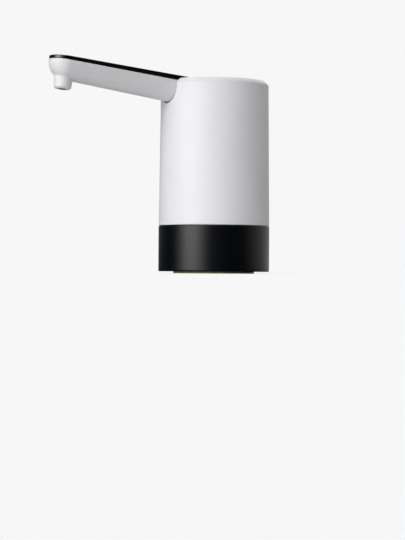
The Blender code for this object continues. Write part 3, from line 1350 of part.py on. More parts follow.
def motor():
    centre = (MOTOR_X, MOTOR_Y, 0)
    inner = MOTOR_RADIUS - MOTOR_WALL
    can_top = MOTOR_BOTTOM + MOTOR_CAN_HEIGHT
    shaft_room = SHAFT_RADIUS + GAP
    points = [
        (inner, can_top),
        (MOTOR_RADIUS, can_top),
        (MOTOR_RADIUS, MOTOR_BOTTOM),
        (shaft_room, MOTOR_BOTTOM),
        (shaft_room, MOTOR_BOTTOM + MOTOR_FLOOR),
        (inner, MOTOR_BOTTOM + MOTOR_FLOOR),
    ]
    zinc = (0.62, 0.62, 0.60)
    can = turned_part("motor_can", points, zinc, 0.3, 1.0, closed=True, steps=MOTOR_STEPS, place=centre)
    for side in (-1, 1):
        x = MOTOR_X + side * MOTOR_SCREW_PLACE
        low, high = MOTOR_BOTTOM - OVERRUN, MOTOR_BOTTOM + MOTOR_FLOOR + OVERRUN
        cut(can, rod_tool(f"can_screw_{side + 1}", SMALL_SHANK + GAP, x, MOTOR_Y, low, high, TINY_STEPS))
    magnet_outer = inner - GAP
    magnet_inner = magnet_outer - MAGNET_WALL
    low = MOTOR_BOTTOM + MOTOR_FLOOR + MAGNET_LEVEL
    high = low + MAGNET_HEIGHT
    points = [(magnet_inner, high), (magnet_outer, high), (magnet_outer, low), (magnet_inner, low)]
    ferrite = (0.06, 0.06, 0.065)
    for name, side in (("motor_magnet_near", -1), ("motor_magnet_far", 1)):
        magnet = turned_part(name, points, ferrite, 0.5, 0.3, closed=True, steps=MOTOR_STEPS, place=centre)
        inner_y = MOTOR_Y + side * MAGNET_GAP / 2
        outer_y = MOTOR_Y + side * MOTOR_RADIUS
        keep_low = (MOTOR_X - MOTOR_RADIUS, min(inner_y, outer_y), low - OVERRUN)
        keep_high = (MOTOR_X + MOTOR_RADIUS, max(inner_y, outer_y), high + OVERRUN)
        keep_common(magnet, block_tool(name + "_half", keep_low, keep_high))
    core_low = MOTOR_BOTTOM + MOTOR_FLOOR + ARMATURE_LEVEL
    core_high = core_low + ARMATURE_HEIGHT
    curve = outline_curve(
        "motor_armature", [pole_outline(), circle_outline(SHAFT_RADIUS + GAP)], ARMATURE_HEIGHT
    )
    place = (MOTOR_X, MOTOR_Y, (core_low + core_high) / 2)
    add_part("motor_armature", curve, (0.35, 0.35, 0.36), 0.35, 1.0, place=place)
    windings(core_low, core_high)
    commutator_low = MOTOR_BOTTOM + COMMUTATOR_LEVEL
    commutator_high = commutator_low + COMMUTATOR_HEIGHT
    points = [
        (shaft_room, commutator_high),
        (COMMUTATOR_RADIUS, commutator_high),
        (COMMUTATOR_RADIUS, commutator_low),
        (shaft_room, commutator_low),
    ]
    turned_part("motor_commutator", points, (0.72, 0.42, 0.24), 0.3, 1.0, closed=True, place=centre)
    bell_low = can_top + GAP
    bell_high = bell_low + END_BELL_HEIGHT
    spigot = inner - GAP
    points = [
        (shaft_room, bell_high),
        (MOTOR_RADIUS, bell_high),
        (MOTOR_RADIUS, bell_low),
        (spigot, bell_low),
        (spigot, bell_low - END_BELL_SPIGOT),
        (spigot - MOTOR_WALL, bell_low - END_BELL_SPIGOT),
        (spigot - MOTOR_WALL, bell_low),
        (shaft_room, bell_low),
    ]
    black = (0.08, 0.08, 0.085)
    turned_part("motor_end_bell", points, black, 0.45, closed=True, steps=MOTOR_STEPS, place=centre)
    shaft_low = PUMP_BOTTOM + PUMP_COVER_THICKNESS - PIN_SUNK + GAP
    shaft_high = bell_high + SHAFT_PAST_BELL
    mesh = rod_mesh("motor_shaft", SHAFT_RADIUS, shaft_high - shaft_low)
    place = (MOTOR_X, MOTOR_Y, (shaft_low + shaft_high) / 2)
    add_part("motor_shaft", mesh, (0.7, 0.7, 0.7), 0.2, 1.0, place=place)
    plate()


def windings(core_low, core_high):
    # A coil round each pole's neck, and the end turns that join them above the core.
    neck_half = POLE_NECK + GAP
    half = neck_half + WINDING_DEPTH
    inner = POLE_HUB + GAP
    outer = shoe_line(half) - GAP
    low = core_low - WINDING_OVERHANG - GAP
    high = core_high + WINDING_OVERHANG + GAP
    points = [
        (inner, high),
        (outer, high),
        (outer, core_high + GAP),
        (inner, core_high + GAP),
    ]
    place = (MOTOR_X, MOTOR_Y, 0)
    coils = turned_part("motor_windings", points, (0.65, 0.27, 0.10), 0.35, 1.0, closed=True, place=place)
    for i in range(ARMATURE_POLES):
        turn = 2 * math.pi * i / ARMATURE_POLES
        for kind, reach, side, bottom, top, join in (
            ("coil", 0, half, low, high, fuse),
            ("neck", OVERRUN, neck_half, core_low - GAP, core_high + GAP, cut),
        ):
            mesh = block_mesh(f"{kind}_{i}", (outer - inner + 2 * reach, 2 * side, top - bottom))
            mesh.transform(Matrix.Translation(((inner + outer) / 2, 0, (bottom + top) / 2)))
            join(coils, add_object(f"{kind}_{i}", mesh, place=place, turn=(0, 0, turn), helper=True))


def plate():
    mesh = block_mesh("motor_plate", (PUMP_SIZE_X, PUMP_SIZE_Y, MOTOR_PLATE_THICKNESS))
    place = (PUMP_X, PUMP_Y, PLATE_BOTTOM + MOTOR_PLATE_THICKNESS / 2)
    made = add_part("motor_plate", mesh, (0.6, 0.6, 0.6), 0.3, 1.0, place=place)
    round_corners(made)
    low = PLATE_BOTTOM - OVERRUN
    high = PLATE_BOTTOM + MOTOR_PLATE_THICKNESS + OVERRUN
    cut(made, rod_tool("plate_shaft", SHAFT_SEAL_RADIUS, MOTOR_X, MOTOR_Y, low, high))
    places = []
    for side in (-1, 1):
        x = MOTOR_X + side * MOTOR_SCREW_PLACE
        cut(made, rod_tool(f"plate_screw_{side + 1}", SMALL_SHANK + GAP, x, MOTOR_Y, low, high, TINY_STEPS))
        places.append(up_at(x, MOTOR_Y, PLATE_BOTTOM - GAP - SMALL_HEAD_HEIGHT))
    length = MOTOR_PLATE_THICKNESS + MOTOR_FLOOR + GAP
    screws("motor_screw", SMALL_SCREW, length, places)


# Battery


def battery():
    bottom = CELL_BOTTOM
    top = bottom + CELL_LENGTH - CELL_BUTTON_RISE
    points = [
        (0, top + CELL_BUTTON_RISE),
        (CELL_BUTTON, top + CELL_BUTTON_RISE),
        (CELL_BUTTON, top),
        (CELL_RADIUS - CELL_EDGE, top),
        (CELL_RADIUS, top - CELL_EDGE),
        (CELL_RADIUS, bottom + CELL_EDGE),
        (CELL_RADIUS - CELL_EDGE, bottom),
        (0, bottom),
    ]
    centre = (CELL_X, CELL_Y, 0)
    turned_part("battery_cell", points, (0.05, 0.18, 0.45), 0.35, steps=MOTOR_STEPS, place=centre)
    room = CELL_RADIUS + GAP
    low = ROOF_THICKNESS + GAP
    floor = low + CRADLE_FLOOR
    outer = room + CRADLE_WALL
    rim = low + CRADLE_HEIGHT
    points = [(0, floor), (room, floor), (room, rim), (outer, rim), (outer, low), (0, low)]
    cradle = turned_part("battery_cradle", points, (0.10, 0.10, 0.11), 0.5, steps=MOTOR_STEPS, place=centre)
    front_low = (CELL_X - outer - OVERRUN, CELL_Y + CRADLE_OPEN, low - OVERRUN)
    front_high = (CELL_X + outer + OVERRUN, CELL_Y + outer + OVERRUN, rim + OVERRUN)
    cut(cradle, block_tool("cradle_front", front_low, front_high))

    for name, z in (
        ("cell_tab_minus", bottom - GAP - TAB_THICKNESS / 2),
        ("cell_tab_plus", bottom + CELL_LENGTH + GAP + TAB_THICKNESS / 2),
    ):
        mesh = block_mesh(name, (TAB_WIDTH, TAB_LENGTH, TAB_THICKNESS))
        add_part(name, mesh, (0.66, 0.64, 0.60), 0.3, 1.0, place=(CELL_X, CELL_Y, z))


# Charging port


def anchor_middle():
    return HINGE_Z - COVER_HINGE_RADIUS - ANCHOR_CLEARANCE - ANCHOR_HEIGHT / 2


def anchor_bottom():
    return anchor_middle() - ANCHOR_HEIGHT / 2


def wall_form(name):
    # The body's outer face, a little proud, which shapes the rubber pieces.
    low = RING_TOP
    high = BODY_TOP
    points = [
        (0, high),
        (BODY_TOP_RADIUS + COVER_PROUD, high),
        (BODY_FOOT_RADIUS + COVER_PROUD, low),
        (0, low),
    ]
    return turned_tool(name, points, steps=ROUND_STEPS)


def port_cover():
    inner = POCKET_FLOOR + GAP
    outer = RING_RADIUS + OVERRUN
    top = PORT_HEIGHT + COVER_ABOVE
    size = (outer - inner, 2 * COVER_HALF_WIDTH, top - HINGE_Z)
    mesh = block_mesh("usb_port_cover", size)
    mesh.transform(Matrix.Translation(((inner + outer) / 2 - HINGE_X, 0, (top - HINGE_Z) / 2)))
    cover = add_part("usb_port_cover", mesh, (0.78, 0.78, 0.77), 0.6, place=(HINGE_X, 0, HINGE_Z))
    keep_common(cover, wall_form("cover_form"))
    knuckle = rod_mesh("cover_knuckle", COVER_HINGE_RADIUS, 2 * COVER_HALF_WIDTH, KNUCKLE_STEPS)
    knuckle_tool = add_object(
        "cover_knuckle", knuckle, place=(HINGE_X, 0, HINGE_Z), turn=(math.pi / 2, 0, 0), helper=True
    )
    stub_low = (
        POCKET_FLOOR - COVER_STUB_LENGTH,
        -COVER_STUB_HALF_WIDTH,
        PORT_HEIGHT - COVER_STUB_HALF_HEIGHT,
    )
    stub_high = (inner + COVER_EDGE, COVER_STUB_HALF_WIDTH, PORT_HEIGHT + COVER_STUB_HALF_HEIGHT)
    fuse(cover, knuckle_tool, block_tool("cover_stub", stub_low, stub_high))
    low, high = anchor_bottom(), anchor_bottom() + ANCHOR_HEIGHT
    size = (outer - inner, 2 * COVER_HALF_WIDTH, high - low)
    mesh = block_mesh("usb_cover_anchor", size)
    place = ((inner + outer) / 2, 0, (low + high) / 2)
    anchor = add_part("usb_cover_anchor", mesh, (0.78, 0.78, 0.77), 0.6, place=place)
    keep_common(anchor, wall_form("anchor_form"))
    peg = cross_rod_tool(
        "anchor_peg", ANCHOR_PEG_RADIUS, inner - ANCHOR_PEG_LENGTH, inner + COVER_EDGE, 0, anchor_middle()
    )
    fuse(anchor, peg)


def rounded_outline(width, height, count=8):
    # A flat-sided shape with half-round ends.
    radius = height / 2
    reach = width / 2 - radius
    points = []
    for i in range(count + 1):
        angle = -math.pi / 2 + math.pi * i / count
        points.append((reach + radius * math.cos(angle), radius * math.sin(angle)))
    for i in range(count + 1):
        angle = math.pi / 2 + math.pi * i / count
        points.append((-reach + radius * math.cos(angle), radius * math.sin(angle)))
    return points


def charging_port():
    mouth = POCKET_FLOOR - PAD_THICKNESS - GAP
    outline = rounded_outline(SOCKET_WIDTH, SOCKET_HEIGHT)
    shell = outline_curve("usb_socket", [outline], SOCKET_LENGTH)
    made = add_object("usb_socket_curve", shell, helper=True)
    mesh = freeze(made)
    mesh.transform(Matrix.Rotation(math.pi / 2, 4, "Z") @ Matrix.Rotation(math.pi / 2, 4, "X"))
    place = (mouth - SOCKET_LENGTH / 2, 0, PORT_HEIGHT)
    socket = add_part("usb_socket", mesh, (0.68, 0.68, 0.68), 0.25, 1.0, place=place)
    inside = rounded_outline(SOCKET_WIDTH - 2 * SOCKET_SHELL, SOCKET_HEIGHT - 2 * SOCKET_SHELL)
    hollow = add_object("usb_hollow_curve", outline_curve("usb_hollow", [inside], SOCKET_LENGTH), helper=True)
    hollow_mesh = freeze(hollow)
    hollow_mesh.transform(Matrix.Rotation(math.pi / 2, 4, "Z") @ Matrix.Rotation(math.pi / 2, 4, "X"))
    tool_place = (mouth - SOCKET_LENGTH / 2 + OVERRUN, 0, PORT_HEIGHT)
    cut(socket, add_object("usb_hollow", hollow_mesh, place=tool_place, helper=True))
    board_high = PORT_HEIGHT - SOCKET_HEIGHT / 2 - GAP
    board_low = board_high - USB_BOARD_THICKNESS
    board_end = mouth - GAP
    mesh = block_mesh("usb_board", (USB_BOARD_LENGTH, USB_BOARD_WIDTH, USB_BOARD_THICKNESS))
    place = (board_end - USB_BOARD_LENGTH / 2, 0, (board_low + board_high) / 2)
    board = add_part("usb_board", mesh, (0.02, 0.16, 0.06), 0.45, place=place)
    stake_x = POCKET_FLOOR - PAD_THICKNESS - USB_STAKE_BACK
    for side in (-1, 1):
        low, high = board_low - OVERRUN, board_high + OVERRUN
        hole = rod_tool(
            f"usb_board_hole_{side + 1}", STAKE_RADIUS + GAP, stake_x, side * USB_STAKE_SIDE, low, high
        )
        cut(board, hole)


# Hose and leads


def from_arm(x, z):
    return arm_frame.matrix_world @ Vector((x, 0, z))


def smooth_route(points, step):
    # A rounded curve through the points, read at even steps.
    spots = [Vector(p) for p in points]
    spots = [2 * spots[0] - spots[1]] + spots + [2 * spots[-1] - spots[-2]]
    route = [spots[1]]
    for a, b, c, d in zip(spots, spots[1:], spots[2:], spots[3:]):
        count = max(1, round((c - b).length / step))
        for i in range(1, count + 1):
            t = i / count
            route.append(
                0.5
                * (
                    2 * b
                    + (c - a) * t
                    + (2 * a - 5 * b + 4 * c - d) * t * t
                    + (3 * b - a - 3 * c + d) * t * t * t
                )
            )
    return route


def tube_curve(name, route, radius):
    curve = bpy.data.curves.new(name, "CURVE")
    curve.dimensions = "3D"
    curve.bevel_depth = radius
    curve.bevel_resolution = 2
    curve.use_fill_caps = True
    spline = curve.splines.new("POLY")
    spline.points.add(len(route) - 1)
    for point, spot in zip(spline.points, route):
        point.co = (*spot, 1)
    return curve


def hose_route():
    # Out of the pump, a bend up, the riser, a bend over the arm's lower lip, and along the arm.
    face = PUMP_X - PUMP_SIZE_X / 2
    end = -ARM_REACH + NOZZLE_BORE + GAP
    foot_x = face - OUTLET_BARB_LENGTH - OVERRUN
    route = [Vector((face - GAP, PUMP_Y, OUTLET_LEVEL))]
    for x, z in arc(foot_x, OUTLET_LEVEL + HOSE_FOOT_BEND, HOSE_FOOT_BEND, -math.pi / 2, -math.pi, 3):
        route.append(Vector((x, PUMP_Y, z)))
    lip = from_arm(-ARM_ROOT, hose_level(ARM_ROOT) - HOSE_BEND)
    foot = route[-1]
    crest = lip + Vector((HOSE_BEND, 0, 0))
    for share in RISER_SHARES:
        spot = foot.lerp(crest, share)
        spot.y = PUMP_Y * (1 + math.cos(math.pi * share)) / 2
        route.append(spot)
    for x, z in arc(lip.x, lip.z, HOSE_BEND, 0, math.pi / 2 - ARM_TILT, 3):
        route.append(Vector((x, 0, z)))
    route.append(from_arm(-ARM_REACH / 2, hose_level(ARM_REACH / 2)))
    route.append(from_arm(end + NOZZLE_BARB_LENGTH, hose_level(ARM_REACH)))
    route.append(from_arm(end, hose_level(ARM_REACH)))
    return route


def delivery_hose():
    route = smooth_route(hose_route(), HOSE_STEP)
    curve = tube_curve("delivery_hose_curve", route, HOSE_RADIUS)
    outer = freeze(add_object("delivery_hose_curve", curve, helper=True))
    hose = add_part("delivery_hose", outer, (0.80, 0.80, 0.78), 0.3)
    start = route[0] + (route[0] - route[1]).normalized() * OVERRUN
    end = route[-1] + (route[-1] - route[-2]).normalized() * OVERRUN
    bore = tube_curve("hose_bore_curve", [start] + route[1:-1] + [end], HOSE_BORE)
    inner = freeze(add_object("hose_bore_curve", bore, helper=True))
    cut(hose, add_object("hose_bore", inner, helper=True))


def hose_clamp():
    # A spring band over the hose where it is pushed on the pump's outlet.
    inner = HOSE_RADIUS + GAP
    outer = inner + CLAMP_WALL
    half = CLAMP_WIDTH / 2
    points = [(inner, half), (outer, half), (outer, -half), (inner, -half)]
    spot = (PUMP_X - PUMP_SIZE_X / 2 - OUTLET_BARB_LENGTH * CLAMP_PLACE_SHARE, PUMP_Y, OUTLET_LEVEL)
    turn = (0, -math.pi / 2, 0)
    band = turned_part(
        "hose_clamp", points, (0.6, 0.6, 0.6), 0.25, 1.0, closed=True, place=spot, turn=turn
    )
    mesh = block_mesh("clamp_ear", (CLAMP_EAR + CLAMP_WALL, CLAMP_EAR_THICKNESS, CLAMP_EAR_WIDTH))
    mesh.transform(Matrix.Translation((outer + (CLAMP_EAR - CLAMP_WALL) / 2, 0, 0)))
    fuse(band, add_object("clamp_ear", mesh, place=spot, turn=turn, helper=True))


def lead(name, points, colour):
    route = smooth_route(points, LEAD_STEP)
    return add_part(name, tube_curve(name, route, LEAD_RADIUS), colour, 0.45)


def leads():
    red = (0.55, 0.02, 0.02)
    black = (0.02, 0.02, 0.02)
    board = BOARD_BOTTOM - GAP
    cell_top = CELL_BOTTOM + CELL_LENGTH + GAP + TAB_THICKNESS + GAP
    cell_low = CELL_BOTTOM - GAP - TAB_THICKNESS
    side = CELL_Y + CELL_RADIUS + LEAD_SPREAD
    bell = MOTOR_BOTTOM + MOTOR_CAN_HEIGHT + END_BELL_HEIGHT + GAP * 2
    lead(
        "battery_lead_red",
        [
            (CELL_X, CELL_Y, cell_top),
            (CELL_X, CELL_Y - LEAD_RADIUS, cell_top + LEAD_CELL_RISE),
            (CELL_X + LEAD_ASIDE, CELL_Y - LEAD_BACK, board - LEAD_END),
            (CELL_X + LEAD_ASIDE, CELL_Y - LEAD_BACK, board),
        ],
        red,
    )
    lead(
        "battery_lead_black",
        [
            (CELL_X, side - LEAD_RADIUS, cell_low + LEAD_RADIUS),
            (CELL_X, side, CELL_BOTTOM + CELL_LENGTH * LEAD_FOOT_SHARE),
            (CELL_X, side, CELL_BOTTOM + CELL_LENGTH + LEAD_SIDE_RISE),
            (CELL_X + LEAD_ASIDE, side - LEAD_SIDE_BACK, board - LEAD_END),
            (CELL_X + LEAD_ASIDE, side - LEAD_SIDE_BACK, board),
        ],
        black,
    )
    for name, sign, colour in (("motor_lead_red", 1, red), ("motor_lead_black", -1, black)):
        x = MOTOR_X + sign * MOTOR_RADIUS * BELL_TERMINAL_SHARE
        lead(
            name,
            [
                (x, MOTOR_Y, bell),
                (x, MOTOR_Y - LEAD_RADIUS, bell + LEAD_BELL_RISE),
                (x + sign * LEAD_SPREAD, MOTOR_Y, board - LEAD_END),
                (x + sign * LEAD_SPREAD, MOTOR_Y, board),
            ],
            colour,
        )
    usb_x = POCKET_FLOOR - PAD_THICKNESS - USB_BOARD_LENGTH
    usb_z = PORT_HEIGHT - SOCKET_HEIGHT / 2
    lead(
        "charge_lead",
        [
            (usb_x + LEAD_RADIUS, 0, usb_z),
            (usb_x + LEAD_RADIUS, 0, usb_z + LEAD_PORT_RISE),
            (usb_x + LEAD_SPREAD, 0, board - LEAD_END),
            (usb_x + LEAD_SPREAD, 0, board),
        ],
        red,
    )


# Fasteners of the foot and the arm


def frame_screws():
    places = []
    for angle in BASE_BOSS_ANGLES:
        x, y = on_circle(BASE_BOSS_CIRCLE, angle)
        places.append(up_at(x, y, RING_BOTTOM + BASE_HEAD_LEVEL - GAP - SCREW_HEAD_HEIGHT))
    screws("base_screw", NORMAL_SCREW, BASE_SCREW_LENGTH, places)
    low = -EAR_LEVEL - EAR_THICKNESS - GAP - SCREW_HEAD_HEIGHT
    places = [arm_frame.matrix_world @ up_at(-EAR_PLACE, side * EAR_SIDE, low) for side in (-1, 1)]
    screws("arm_screw", NORMAL_SCREW, SHORT_SCREW_LENGTH + EAR_THICKNESS, places)


def smooth_rounds():
    for made in parts.objects:
        if made.type != "MESH" or not made.data.polygons:
            continue
        made.data.shade_smooth()
        made.data.set_sharp_from_angle(angle=math.radians(35.0))


foot_ring()
neck_seal()
body_shell()
top_cap()
spout_arm()
arm_top_plate()
nozzle()
power_button()
indicator_ring()
tact_switch()
circuit_board()
pump_housing()
pump_cover()
pump_gasket()
pump_small_parts()
motor()
battery()
port_cover()
charging_port()
delivery_hose()
hose_clamp()
leads()
frame_screws()
smooth_rounds()
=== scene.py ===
import json
import math

import bmesh
import bpy
from mathutils import Matrix, Vector


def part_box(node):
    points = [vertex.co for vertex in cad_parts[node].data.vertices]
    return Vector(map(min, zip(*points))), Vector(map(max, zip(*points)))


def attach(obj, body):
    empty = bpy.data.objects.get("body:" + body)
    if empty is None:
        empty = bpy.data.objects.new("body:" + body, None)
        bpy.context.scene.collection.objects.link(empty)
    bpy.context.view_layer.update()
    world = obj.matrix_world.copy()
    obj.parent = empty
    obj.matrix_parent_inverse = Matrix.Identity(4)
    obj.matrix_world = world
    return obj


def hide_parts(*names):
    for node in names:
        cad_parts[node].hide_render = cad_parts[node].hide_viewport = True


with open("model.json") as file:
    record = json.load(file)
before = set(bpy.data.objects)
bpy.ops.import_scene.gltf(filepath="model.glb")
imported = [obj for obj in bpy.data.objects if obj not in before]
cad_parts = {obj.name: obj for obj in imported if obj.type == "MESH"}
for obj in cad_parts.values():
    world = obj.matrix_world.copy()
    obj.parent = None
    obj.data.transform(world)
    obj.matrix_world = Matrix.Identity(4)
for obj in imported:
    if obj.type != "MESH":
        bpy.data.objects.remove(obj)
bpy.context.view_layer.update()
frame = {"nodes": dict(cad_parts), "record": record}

mm = 0.001
overrun = 1 * mm  # how far a cutter runs past what it cuts
world = Matrix.Identity(4)


# Small helpers for colours, nodes and meshes


def metres(**lengths):
    # A piece's sizes, written in millimetres and kept in metres
    def scaled(value):
        return tuple(scaled(v) for v in value) if isinstance(value, tuple) else value * mm

    return {key: scaled(value) for key, value in lengths.items()}


def linear(hexColour):
    # sRGB hex to the linear values that shaders take
    shares = [int(hexColour[i:i + 2], 16) / 255 for i in (1, 3, 5)]
    return [s / 12.92 if s <= 0.04045 else ((s + 0.055) / 1.055) ** 2.4 for s in shares] + [1.0]


def addNode(tree, kind, inputs=None, stops=(), **settings):
    # A socket in inputs is linked and any other value is set. Stops are a ramp's places and colours.
    node = tree.nodes.new("ShaderNode" + kind)
    for key, value in settings.items():
        setattr(node, key, value)
    for key, value in (inputs or {}).items():
        if isinstance(value, bpy.types.NodeSocket):
            tree.links.new(value, node.inputs[key])
        else:
            node.inputs[key].default_value = value
    for i, (position, hexColour) in enumerate(stops):
        if i >= len(node.color_ramp.elements):
            node.color_ramp.elements.new(position)
        node.color_ramp.elements[i].position = position
        node.color_ramp.elements[i].color = linear(hexColour)
    return node


def startMaterial(name, finish):
    # The values that are the same all over the surface stand on the shader's own sockets.
    material = bpy.data.materials.new(name)
    material.use_nodes = True
    tree = material.node_tree
    shader = tree.nodes["Principled BSDF"]
    shader.inputs["Base Color"].default_value = linear(finish["colour"])
    shader.inputs["Roughness"].default_value = finish["roughness"]
    shader.inputs["Metallic"].default_value = finish.get("metallic", 0.0)
    if "ior" in finish:
        shader.inputs["IOR"].default_value = finish["ior"]
    place = addNode(tree, "TexCoord").outputs["Object"]
    return material, tree, shader, place


def closeShape(name, shape, turn=world):
    # A closed mesh object facing outwards, carried into the frame that it was drawn in
    bmesh.ops.recalc_face_normals(shape, faces=shape.faces)
    mesh = bpy.data.meshes.new(name)
    shape.to_mesh(mesh)
    shape.free()
    mesh.transform(turn)
    made = bpy.data.objects.new(name, mesh)
    bpy.context.scene.collection.objects.link(made)
    return made


def settle(piece):
    # Takes up the modifiers, so that the piece is plain mesh.
    bpy.context.view_layer.update()
    graph = bpy.context.evaluated_depsgraph_get()
    mesh = bpy.data.meshes.new_from_object(piece.evaluated_get(graph))
    old = piece.data
    piece.modifiers.clear()
    piece.data = mesh
    bpy.data.meshes.remove(old)
    return piece


def shapeWith(piece, operation, *tools):
    for tool in tools:
        step = piece.modifiers.new(tool.name, "BOOLEAN")
        step.operation = operation
        step.object = tool
    settle(piece)
    for tool in tools:
        bpy.data.objects.remove(tool, do_unlink=True)
    return piece


def easeEdges(piece, width, angle=50.0, segments=2):
    # Rounds the edges that the cuts left.
    step = piece.modifiers.new("ease", "BEVEL")
    step.width = width
    step.segments = segments
    step.limit_method = "ANGLE"
    step.angle_limit = math.radians(angle)
    step.use_clamp_overlap = True
    return settle(piece)


def dress(piece, materials, node, body="root", sharp=40.0):
    piece.data.materials.clear()
    for material in materials:
        piece.data.materials.append(material)
    piece.data.shade_smooth()
    piece.data.set_sharp_from_angle(angle=math.radians(sharp))
    level = piece.modifiers.new("evenShading", "WEIGHTED_NORMAL")
    level.keep_sharp = True
    settle(piece)
    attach(piece, body)
    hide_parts(node)
    return piece


def bend(start, corner, end, steps):
    # Points on the curve that leaves towards the corner and arrives from it
    points = []
    for i in range(steps + 1):
        t = i / steps
        points.append(tuple(start * (1 - t) ** 2 + corner * 2 * t * (1 - t) + end * t ** 2))
    return points


def softened(points, radius, closed=False, steps=4):
    # The outline with each corner eased by about the radius, and by less where its sides are short
    spots = [Vector(p) for p in points]
    sideShare = 0.45
    eased = []
    for i, corner in enumerate(spots):
        if not closed and i in (0, len(spots) - 1):
            eased.append(tuple(corner))
            continue
        before = spots[i - 1] - corner
        after = spots[(i + 1) % len(spots)] - corner
        reach = min(radius, before.length * sideShare, after.length * sideShare)
        start, end = corner + before.normalized() * reach, corner + after.normalized() * reach
        eased += bend(start, corner, end, steps)
    return eased


def arcPoints(x, y, radius, start, end, steps):
    angles = [math.radians(start + (end - start) * i / steps) for i in range(steps + 1)]
    return [(x + radius * math.cos(a), y + radius * math.sin(a)) for a in angles]


def ringPoints(x, y, radius, count):
    return arcPoints(x, y, radius, 0, 360 - 360 / count, count - 1)


def joinRows(shape, rows, steps, closed=False):
    # Skins rows of corners that lie one after another. A row may be a single point.
    pairs = list(zip(rows, rows[1:]))
    if closed:
        pairs.append((rows[-1], rows[0]))
    for near, far in pairs:
        for i in range(steps):
            j = (i + 1) % steps
            corners = (near[i % len(near)], near[j % len(near)], far[j % len(far)], far[i % len(far)])
            face = list(dict.fromkeys(corners))
            if len(face) > 2:
                shape.faces.new(face)


def turned(name, profile, steps=160, closed=False, place=(0, 0), turn=world):
    # Turns a profile of radius and height about an upright axis.
    shape = bmesh.new()
    rows = []
    for radius, height in profile:
        count = steps if radius > 0 else 1
        row = []
        for i in range(count):
            angle = 2 * math.pi * i / steps
            spot = place[0] + radius * math.cos(angle), place[1] + radius * math.sin(angle), height
            row.append(shape.verts.new(spot))
        rows.append(row)
    joinRows(shape, rows, steps, closed)
    return closeShape(name, shape, turn)


def extruded(name, outline, low, high, turn=world):
    # A flat outline drawn up from one level to another
    shape = bmesh.new()
    base = [shape.verts.new((x, y, low)) for x, y in outline]
    top = [shape.verts.new((x, y, high)) for x, y in outline]
    shape.faces.new(base)
    shape.faces.new(top)
    for i in range(len(base)):
        j = (i + 1) % len(base)
        shape.faces.new((base[i], base[j], top[j], top[i]))
    return closeShape(name, shape, turn)


def rod(name, radius, x, y, low, high, steps=64, turn=world):
    return extruded(name, ringPoints(x, y, radius, steps), low, high, turn)


def slab(name, low, high, corner=0.0, turn=world):
    # A block with its upright corners rounded
    points = [(low[0], low[1]), (high[0], low[1]), (high[0], high[1]), (low[0], high[1])]
    outline = softened(points, corner, closed=True, steps=8) if corner else points
    return extruded(name, outline, low[2], high[2], turn)


# Drawn with its outline across and upwards and its depth along +X, for what sits on the back wall
outOfBack = Matrix(((0, 0, 1, 0), (1, 0, 0, 0), (0, 1, 0, 0), (0, 0, 0, 1)))


# Camera: level with the foot, turned so that the spout comes towards the viewer

view = {
    "distance": 1218.7 * mm,
    "aside": -7.15 * mm,
    "height": -16.04 * mm,
    "azimuth": math.radians(-28.466),
    "roll": 0.0065,
    "lens": 126.67,
    "sensor": 36.0,  # along the picture's long side
}
back = Vector((math.sin(view["azimuth"]), -math.cos(view["azimuth"]), 0))
right = Vector((math.cos(view["azimuth"]), math.sin(view["azimuth"]), 0))
cameraData = bpy.data.cameras.new("camera")
cameraData.lens = view["lens"]
cameraData.sensor_width = view["sensor"]
cameraData.clip_start = 1 * mm
camera = bpy.data.objects.new("camera", cameraData)
bpy.context.scene.collection.objects.link(camera)
axes = Matrix((right, Vector((0, 0, 1)), back)).transposed().to_4x4()
spot = back * view["distance"] + right * view["aside"] + Vector((0, 0, view["height"]))
camera.matrix_world = Matrix.Translation(spot) @ axes @ Matrix.Rotation(view["roll"], 4, "Z")
bpy.context.scene.camera = camera
print("camera placed")


# Studio: pale paper, a low softbox with soft edges to the left, two more in front, one below, one behind,
# and a dim room

studio = {
    "paper": 0.93,  # brightness of the paper where the camera sees it
    "roomSide": math.radians(150.0),  # the room is brightest behind the object, towards its right
    "roomFrom": -0.25,  # cosine off that side where its light begins
    "roomLevel": 0.205,
    "sheetSide": math.radians(135.0),  # the sheet that gloss shows hangs behind the object, to its right
    "sheetFrom": 0.3,
    "sheetLevel": 0.46,
    "floorColour": "#C9C9CA",
    "floorGlow": 0.516,
    "floorDrop": 0.02 * mm,
    "floorRadius": 60.0,
}
lamps = {  # angles in degrees, side and rise seen from the object and counted from the camera's direction
    "lowSoftbox": {"side": -48.5, "rise": 12, "spread": 34, "strength": 0.55},
    "lowSoftboxMiddle": {"side": -48.5, "rise": 12, "spread": 54, "strength": 0.92},
    "lowSoftboxEdge": {"side": -48.5, "rise": 12, "spread": 76, "strength": 0.62},
    "frontSoftbox": {"side": -11, "rise": 33, "spread": 34, "strength": 0.69},
    "highSoftbox": {"side": -11, "rise": 46, "spread": 44, "strength": 0.54},
    "underSoftbox": {"side": -25, "rise": -28, "spread": 60, "strength": 0.45},
    "backSoftbox": {"side": 165, "rise": 45, "spread": 70, "strength": 1.10},
}
bpy.context.scene.view_settings.view_transform = "Standard"
paperWorld = bpy.data.worlds.new("paperStudio")
bpy.context.scene.world = paperWorld
paperWorld.use_nodes = True
tree = paperWorld.node_tree


def levelTowards(tree, direction, side, start, level):
    # Rises from nothing to the level as the direction turns towards that side of the object.
    axis = back * math.cos(side) + right * math.sin(side)
    near = addNode(tree, "VectorMath", {0: direction, 1: tuple(axis)}, operation="DOT_PRODUCT")
    values = {"Value": near.outputs["Value"], "From Min": start, "From Max": 1.0, "To Max": level}
    return addNode(tree, "MapRange", values).outputs["Result"]


